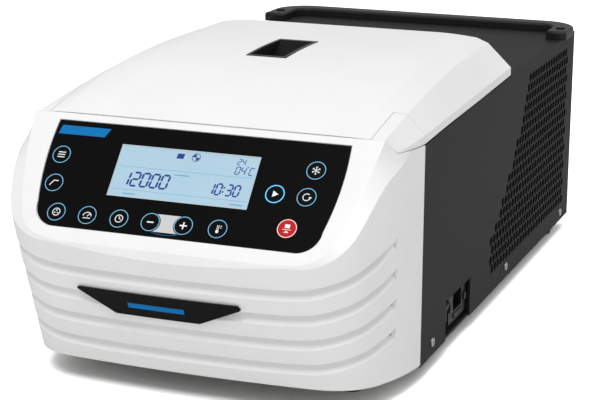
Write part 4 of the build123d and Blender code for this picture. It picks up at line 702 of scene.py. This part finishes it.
class OBJECT_OT_centrifuge_display(bpy.types.Operator):
    """Draw the display's segments, rules and bezel"""
    bl_idname = "centrifuge.display"
    bl_label = "Display"

    def execute(self, context):
        prints = settings().prints
        done = Centrifuge.finishes
        left, right = -59.5, 51.5
        top, bottom = -16.0, -59.0
        big, wide, line = prints.digit_height, prints.digit_width, prints.stroke
        digits = digit_strokes("12000", left + 7.5, bottom + 9.8, big, wide, line, 2.3, prints.slant)
        digits += digit_strokes("10:30", right - 34, bottom + 9.6, big * 0.8, wide * 0.72, line * 0.85,
                                1.9, prints.slant)
        digits += digit_strokes("04", right - 17, top - 15.5, 6.0, 3.0, 0.75, 1.4, prints.slant)
        digits += digit_strokes("C", right - 6.2, top - 15.5, 6.0, 3.0, 0.75, 1.4, prints.slant)
        digits += digit_strokes("24", right - 17, top - 7.6, 4.6, 2.3, 0.6, 1.2, prints.slant)
        digits.append([(left + 46, top - 3.2), (left + 51.6, top - 3.2), (left + 51.2, top - 7.4),
                       (left + 45.6, top - 7.4)])
        dial = (left + 61, top - 5.2)
        digits += [arc_stroke(*dial, 3.2, 0.45, 0.0, pi), arc_stroke(*dial, 3.2, 0.45, pi, 2 * pi)]
        for start in (pi / 2, 3 * pi / 2):
            digits.append([dial, *circle(*dial, 2.7, 9, start, pi / 2 * 9 / 8)])
        digits.append(circle(right - 8.0, top - 9.2, 0.55, 10))
        print_piece("display_digits", digits, SCREEN_FACE, done["digits"], height=0.04)
        rules = [stroke(left + 2, y, right - 2, y, 0.28) for y in (top - 17.8, bottom + 6.2)]
        rules += [stroke(left + 12, bottom + 3, left + 22, bottom + 3, 0.9),
                  stroke(left + 48, bottom + 22, left + 60, bottom + 22, 0.9),
                  stroke(right - 14, bottom + 3, right - 4, bottom + 3, 0.9)]
        print_piece("display_rules", rules, SCREEN_FACE, done["rule"], height=0.03)
        play, rim = 0.02, 0.6
        outer = rectangle(left + play, right - play, bottom + play, top - play)
        inner = rectangle(left + rim, right - rim, bottom + rim, top - rim)

        def bezel(shape):
            band(shape, outer, inner, SCREEN_FACE - PRINT_SINK, OVERLAY_FACE - play, PANEL)
        mesh_piece("display_bezel", bezel, done["bezel"], "case")
        return {"FINISHED"}


class OBJECT_OT_centrifuge_grooves(bpy.types.Operator):
    """Close the ends of the louvre grooves from inside the casing's wall"""
    bl_idname = "centrifuge.grooves"
    bl_label = "Groove ends"

    def execute(self, context):
        casing = frame["nodes"]["front_casing"]
        skin, gap, play = 1.5, 0.1, 0.02
        reach, behind, below, above = 4, 2.2, 9, 1.2

        def flank(back, height):
            hit, spot, _, _ = casing.ray_cast(Vector((200, back, height)) * MM, Vector((-1, 0, 0)))
            if not hit:
                raise RuntimeError("no casing wall beside a groove's end")
            return spot.x / MM
        for index in range(GROOVE_COUNT):
            end = GROOVE_END + GROOVE_END_STEP * index
            upper = GROOVE_TOP - GROOVE_PITCH * index
            in_wall = flank(end + 0.3, upper - below) - skin
            under_floor = flank(end - reach, upper - 4) - gap
            inner = under_floor - reach
            plan = [(inner, end - reach), (under_floor, end - reach), (under_floor, end + play),
                    (in_wall, end + play), (in_wall, end + behind), (inner, end + behind)]
            for side, word in ((1, "right"), (-1, "left")):

                def build(shape, plan=plan, side=side, upper=upper):
                    slab(shape, [(side * x, y) for x, y in plan], upper - below, upper + above, Matrix())
                mesh_piece(f"groove_end_{word}_{index + 1}", build, Centrifuge.finishes["shell"], "case")
        return {"FINISHED"}


class OBJECT_OT_centrifuge_vent_shade_sheets(bpy.types.Operator):
    """Lay a thin near-black sheet inside each side cover, behind its vents, as painted shade for the dark
    inside
    """
    bl_idname = "centrifuge.filters"
    bl_label = "Painted vent shade"

    def execute(self, context):
        field = rectangle(VENT_SHADE_FRONT, VENT_SHADE_REAR, VENT_SHADE_LOW, VENT_SHADE_HIGH)
        upright = Matrix(((0, 0, 1, 0), (1, 0, 0, 0), (0, 1, 0, 0), (0, 0, 0, 1)))
        faces = {"right": (VENT_SHADE_INNER, VENT_SHADE_OUTER), "left": (-VENT_SHADE_OUTER, -VENT_SHADE_INNER)}
        for word, (near, far) in faces.items():
            def build(shape, near=near, far=far):
                slab(shape, field, near, far, upright)
            mesh_piece(f"vent_shade_piece_{word}", build, Centrifuge.finishes["vent_shade"], "case")
        return {"FINISHED"}


class OBJECT_OT_centrifuge_badge(bpy.types.Operator):
    """Lay the plain blue accent on the front badge"""
    bl_idname = "centrifuge.badge"
    bl_label = "Badge accent"

    def execute(self, context):
        badge = frame["nodes"]["front_badge"]
        steps = 24

        def build(shape):
            grid = []
            for column in range(steps + 1):
                x = (ACCENT_LEFT + (ACCENT_RIGHT - ACCENT_LEFT) * column / steps) * MM
                rows = []
                for height in (ACCENT_LOW, ACCENT_HIGH):
                    before_badge = Vector((x, badge_box[0][1] - 0.05, height * MM))
                    hit, spot, _, _ = badge.ray_cast(before_badge, Vector((0, 1, 0)))
                    if not hit:
                        raise RuntimeError("the accent misses the badge")
                    rows.append((shape.verts.new(spot + ACCENT_OUT), shape.verts.new(spot + ACCENT_IN)))
                grid.append(rows)
            for before, after in zip(grid, grid[1:]):
                (low_a, low_back_a), (high_a, high_back_a) = before
                (low_b, low_back_b), (high_b, high_back_b) = after
                shape.faces.new((low_a, low_b, high_b, high_a))
                shape.faces.new((low_back_b, low_back_a, high_back_a, high_back_b))
                shape.faces.new((low_a, low_back_a, low_back_b, low_b))
                shape.faces.new((high_a, high_b, high_back_b, high_back_a))
            for (front_low, back_low), (front_high, back_high) in (grid[0], grid[-1]):
                shape.faces.new((front_low, front_high, back_high, back_low))
        mesh_piece("badge_accent", build, Centrifuge.finishes["accent"], "case")
        return {"FINISHED"}


class OBJECT_OT_centrifuge_studio(bpy.types.Operator):
    """Lay the floor, light the part and set the camera"""
    bl_idname = "centrifuge.studio"
    bl_label = "Studio"

    def execute(self, context):
        studio = settings().studio
        scene = context.scene
        half = studio.floor_size / 2
        mesh = bpy.data.meshes.new("floor")
        corners = [(x, y, 0) for x, y in rectangle(-half, half, -half, half)]
        mesh.from_pydata(corners, [], [(0, 1, 2, 3)])
        floor = bpy.data.objects.new("floor", mesh)
        scene.collection.objects.link(floor)
        f = Finish("floor_white")
        seen = f.node("ShaderNodeLightPath", output="Is Camera Ray")
        grain = f.noise(30)
        plain = f.node("ShaderNodeBsdfPrincipled", None,
                       {"Base Color": f.between(grain, (0.8, 0.8, 0.8), (0.84, 0.84, 0.84)), "Roughness": 0.9,
                        "Specular IOR Level": 0.1})
        bright = f.node("ShaderNodeBsdfDiffuse", None, {"Color": (studio.floor_white,) * 3})
        both = f.node("ShaderNodeMixShader", None, {0: seen, 1: plain, 2: bright})
        f.node("ShaderNodeOutputMaterial", None, {"Surface": both})
        mesh.materials.append(f.material)

        world = bpy.data.worlds.new("studio")
        scene.world = world
        world.use_nodes = True
        w = Finish("studio", world.node_tree)
        camera_ray = w.node("ShaderNodeLightPath", output="Is Camera Ray")
        through_ray = w.node("ShaderNodeLightPath", output="Is Transmission Ray")
        white = w.node("ShaderNodeBackground", None, {"Color": (1, 1, 1), "Strength": 1.0})
        soft = w.node("ShaderNodeBackground", None, {"Color": (1, 1, 1), "Strength": studio.ambient})
        mixed = w.node("ShaderNodeMixShader", None, {0: camera_ray | through_ray, 1: soft, 2: white})
        w.node("ShaderNodeOutputWorld", None, {"Surface": mixed})

        for name, spot, size, power in (("key_light", (0.25, -2.1, 3.0), 1.5, studio.key_power),
                                        ("top_light", (0.7, 0.4, 3.2), 2.2, studio.fill_power)):
            lamp = bpy.data.lights.new(name, "AREA")
            lamp.size = size
            lamp.energy = power
            light = bpy.data.objects.new(name, lamp)
            scene.collection.objects.link(light)
            light.location = spot
            light.rotation_euler = (Vector((0, 0, 0.1)) - Vector(spot)).to_track_quat("-Z", "Y").to_euler()

        forward = Vector((-sin(CAMERA_YAW) * cos(CAMERA_PITCH), cos(CAMERA_YAW) * cos(CAMERA_PITCH),
                          -sin(CAMERA_PITCH)))
        level = forward.cross(Vector((0, 0, 1))).normalized()
        upright = level.cross(forward)
        right = cos(CAMERA_ROLL) * level + sin(CAMERA_ROLL) * upright
        up = cos(CAMERA_ROLL) * upright - sin(CAMERA_ROLL) * level
        camera = bpy.data.objects.new("camera", bpy.data.cameras.new("camera"))
        scene.collection.objects.link(camera)
        placed = Matrix((right, up, -forward)).transposed().to_4x4()
        placed.translation = CAMERA_PLACE
        camera.matrix_world = placed
        camera.data.lens = studio.focal
        camera.data.sensor_width = 36.0
        scene.camera = camera
        scene.view_settings.view_transform = "Standard"
        return {"FINISHED"}


class CentrifugeSettings(bpy.types.PropertyGroup):
    """All settings of the centrifuge."""
    colours: PointerProperty(type=CentrifugeColours)
    prints: PointerProperty(type=CentrifugePrints)
    studio: PointerProperty(type=CentrifugeStudio)


OPERATORS = (
    OBJECT_OT_centrifuge_finishes,
    OBJECT_OT_centrifuge_keys,
    OBJECT_OT_centrifuge_panel,
    OBJECT_OT_centrifuge_display,
    OBJECT_OT_centrifuge_grooves,
    OBJECT_OT_centrifuge_vent_shade_sheets,
    OBJECT_OT_centrifuge_badge,
    OBJECT_OT_centrifuge_studio,
)


class VIEW3D_PT_centrifuge(bpy.types.Panel):
    """Sidebar panel of the centrifuge"""
    bl_label = "Centrifuge"
    bl_category = "Centrifuge"
    bl_space_type = "VIEW_3D"
    bl_region_type = "UI"

    def draw(self, context):
        for operator in OPERATORS:
            self.layout.operator(operator.bl_idname)
        for group in (settings().colours, settings().prints, settings().studio):
            column = self.layout.column()
            for key in group.__annotations__:
                column.prop(group, key)


CLASSES = (CentrifugeColours, CentrifugePrints, CentrifugeStudio, CentrifugeSettings, *OPERATORS,
           VIEW3D_PT_centrifuge)


def register():
    """Register the classes and hang the settings on the scene."""
    for kind in CLASSES:
        bpy.utils.register_class(kind)
    bpy.types.Scene.centrifuge = PointerProperty(type=CentrifugeSettings)


def unregister():
    """Undo register."""
    del bpy.types.Scene.centrifuge
    for kind in reversed(CLASSES):
        bpy.utils.unregister_class(kind)


def main():
    """Build everything."""
    register()
    bpy.ops.centrifuge.finishes()
    bpy.ops.centrifuge.keys()
    bpy.ops.centrifuge.panel()
    bpy.ops.centrifuge.display()
    bpy.ops.centrifuge.grooves()
    bpy.ops.centrifuge.filters()
    bpy.ops.centrifuge.badge()
    bpy.ops.centrifuge.studio()


if __name__ == "__main__":
    main()
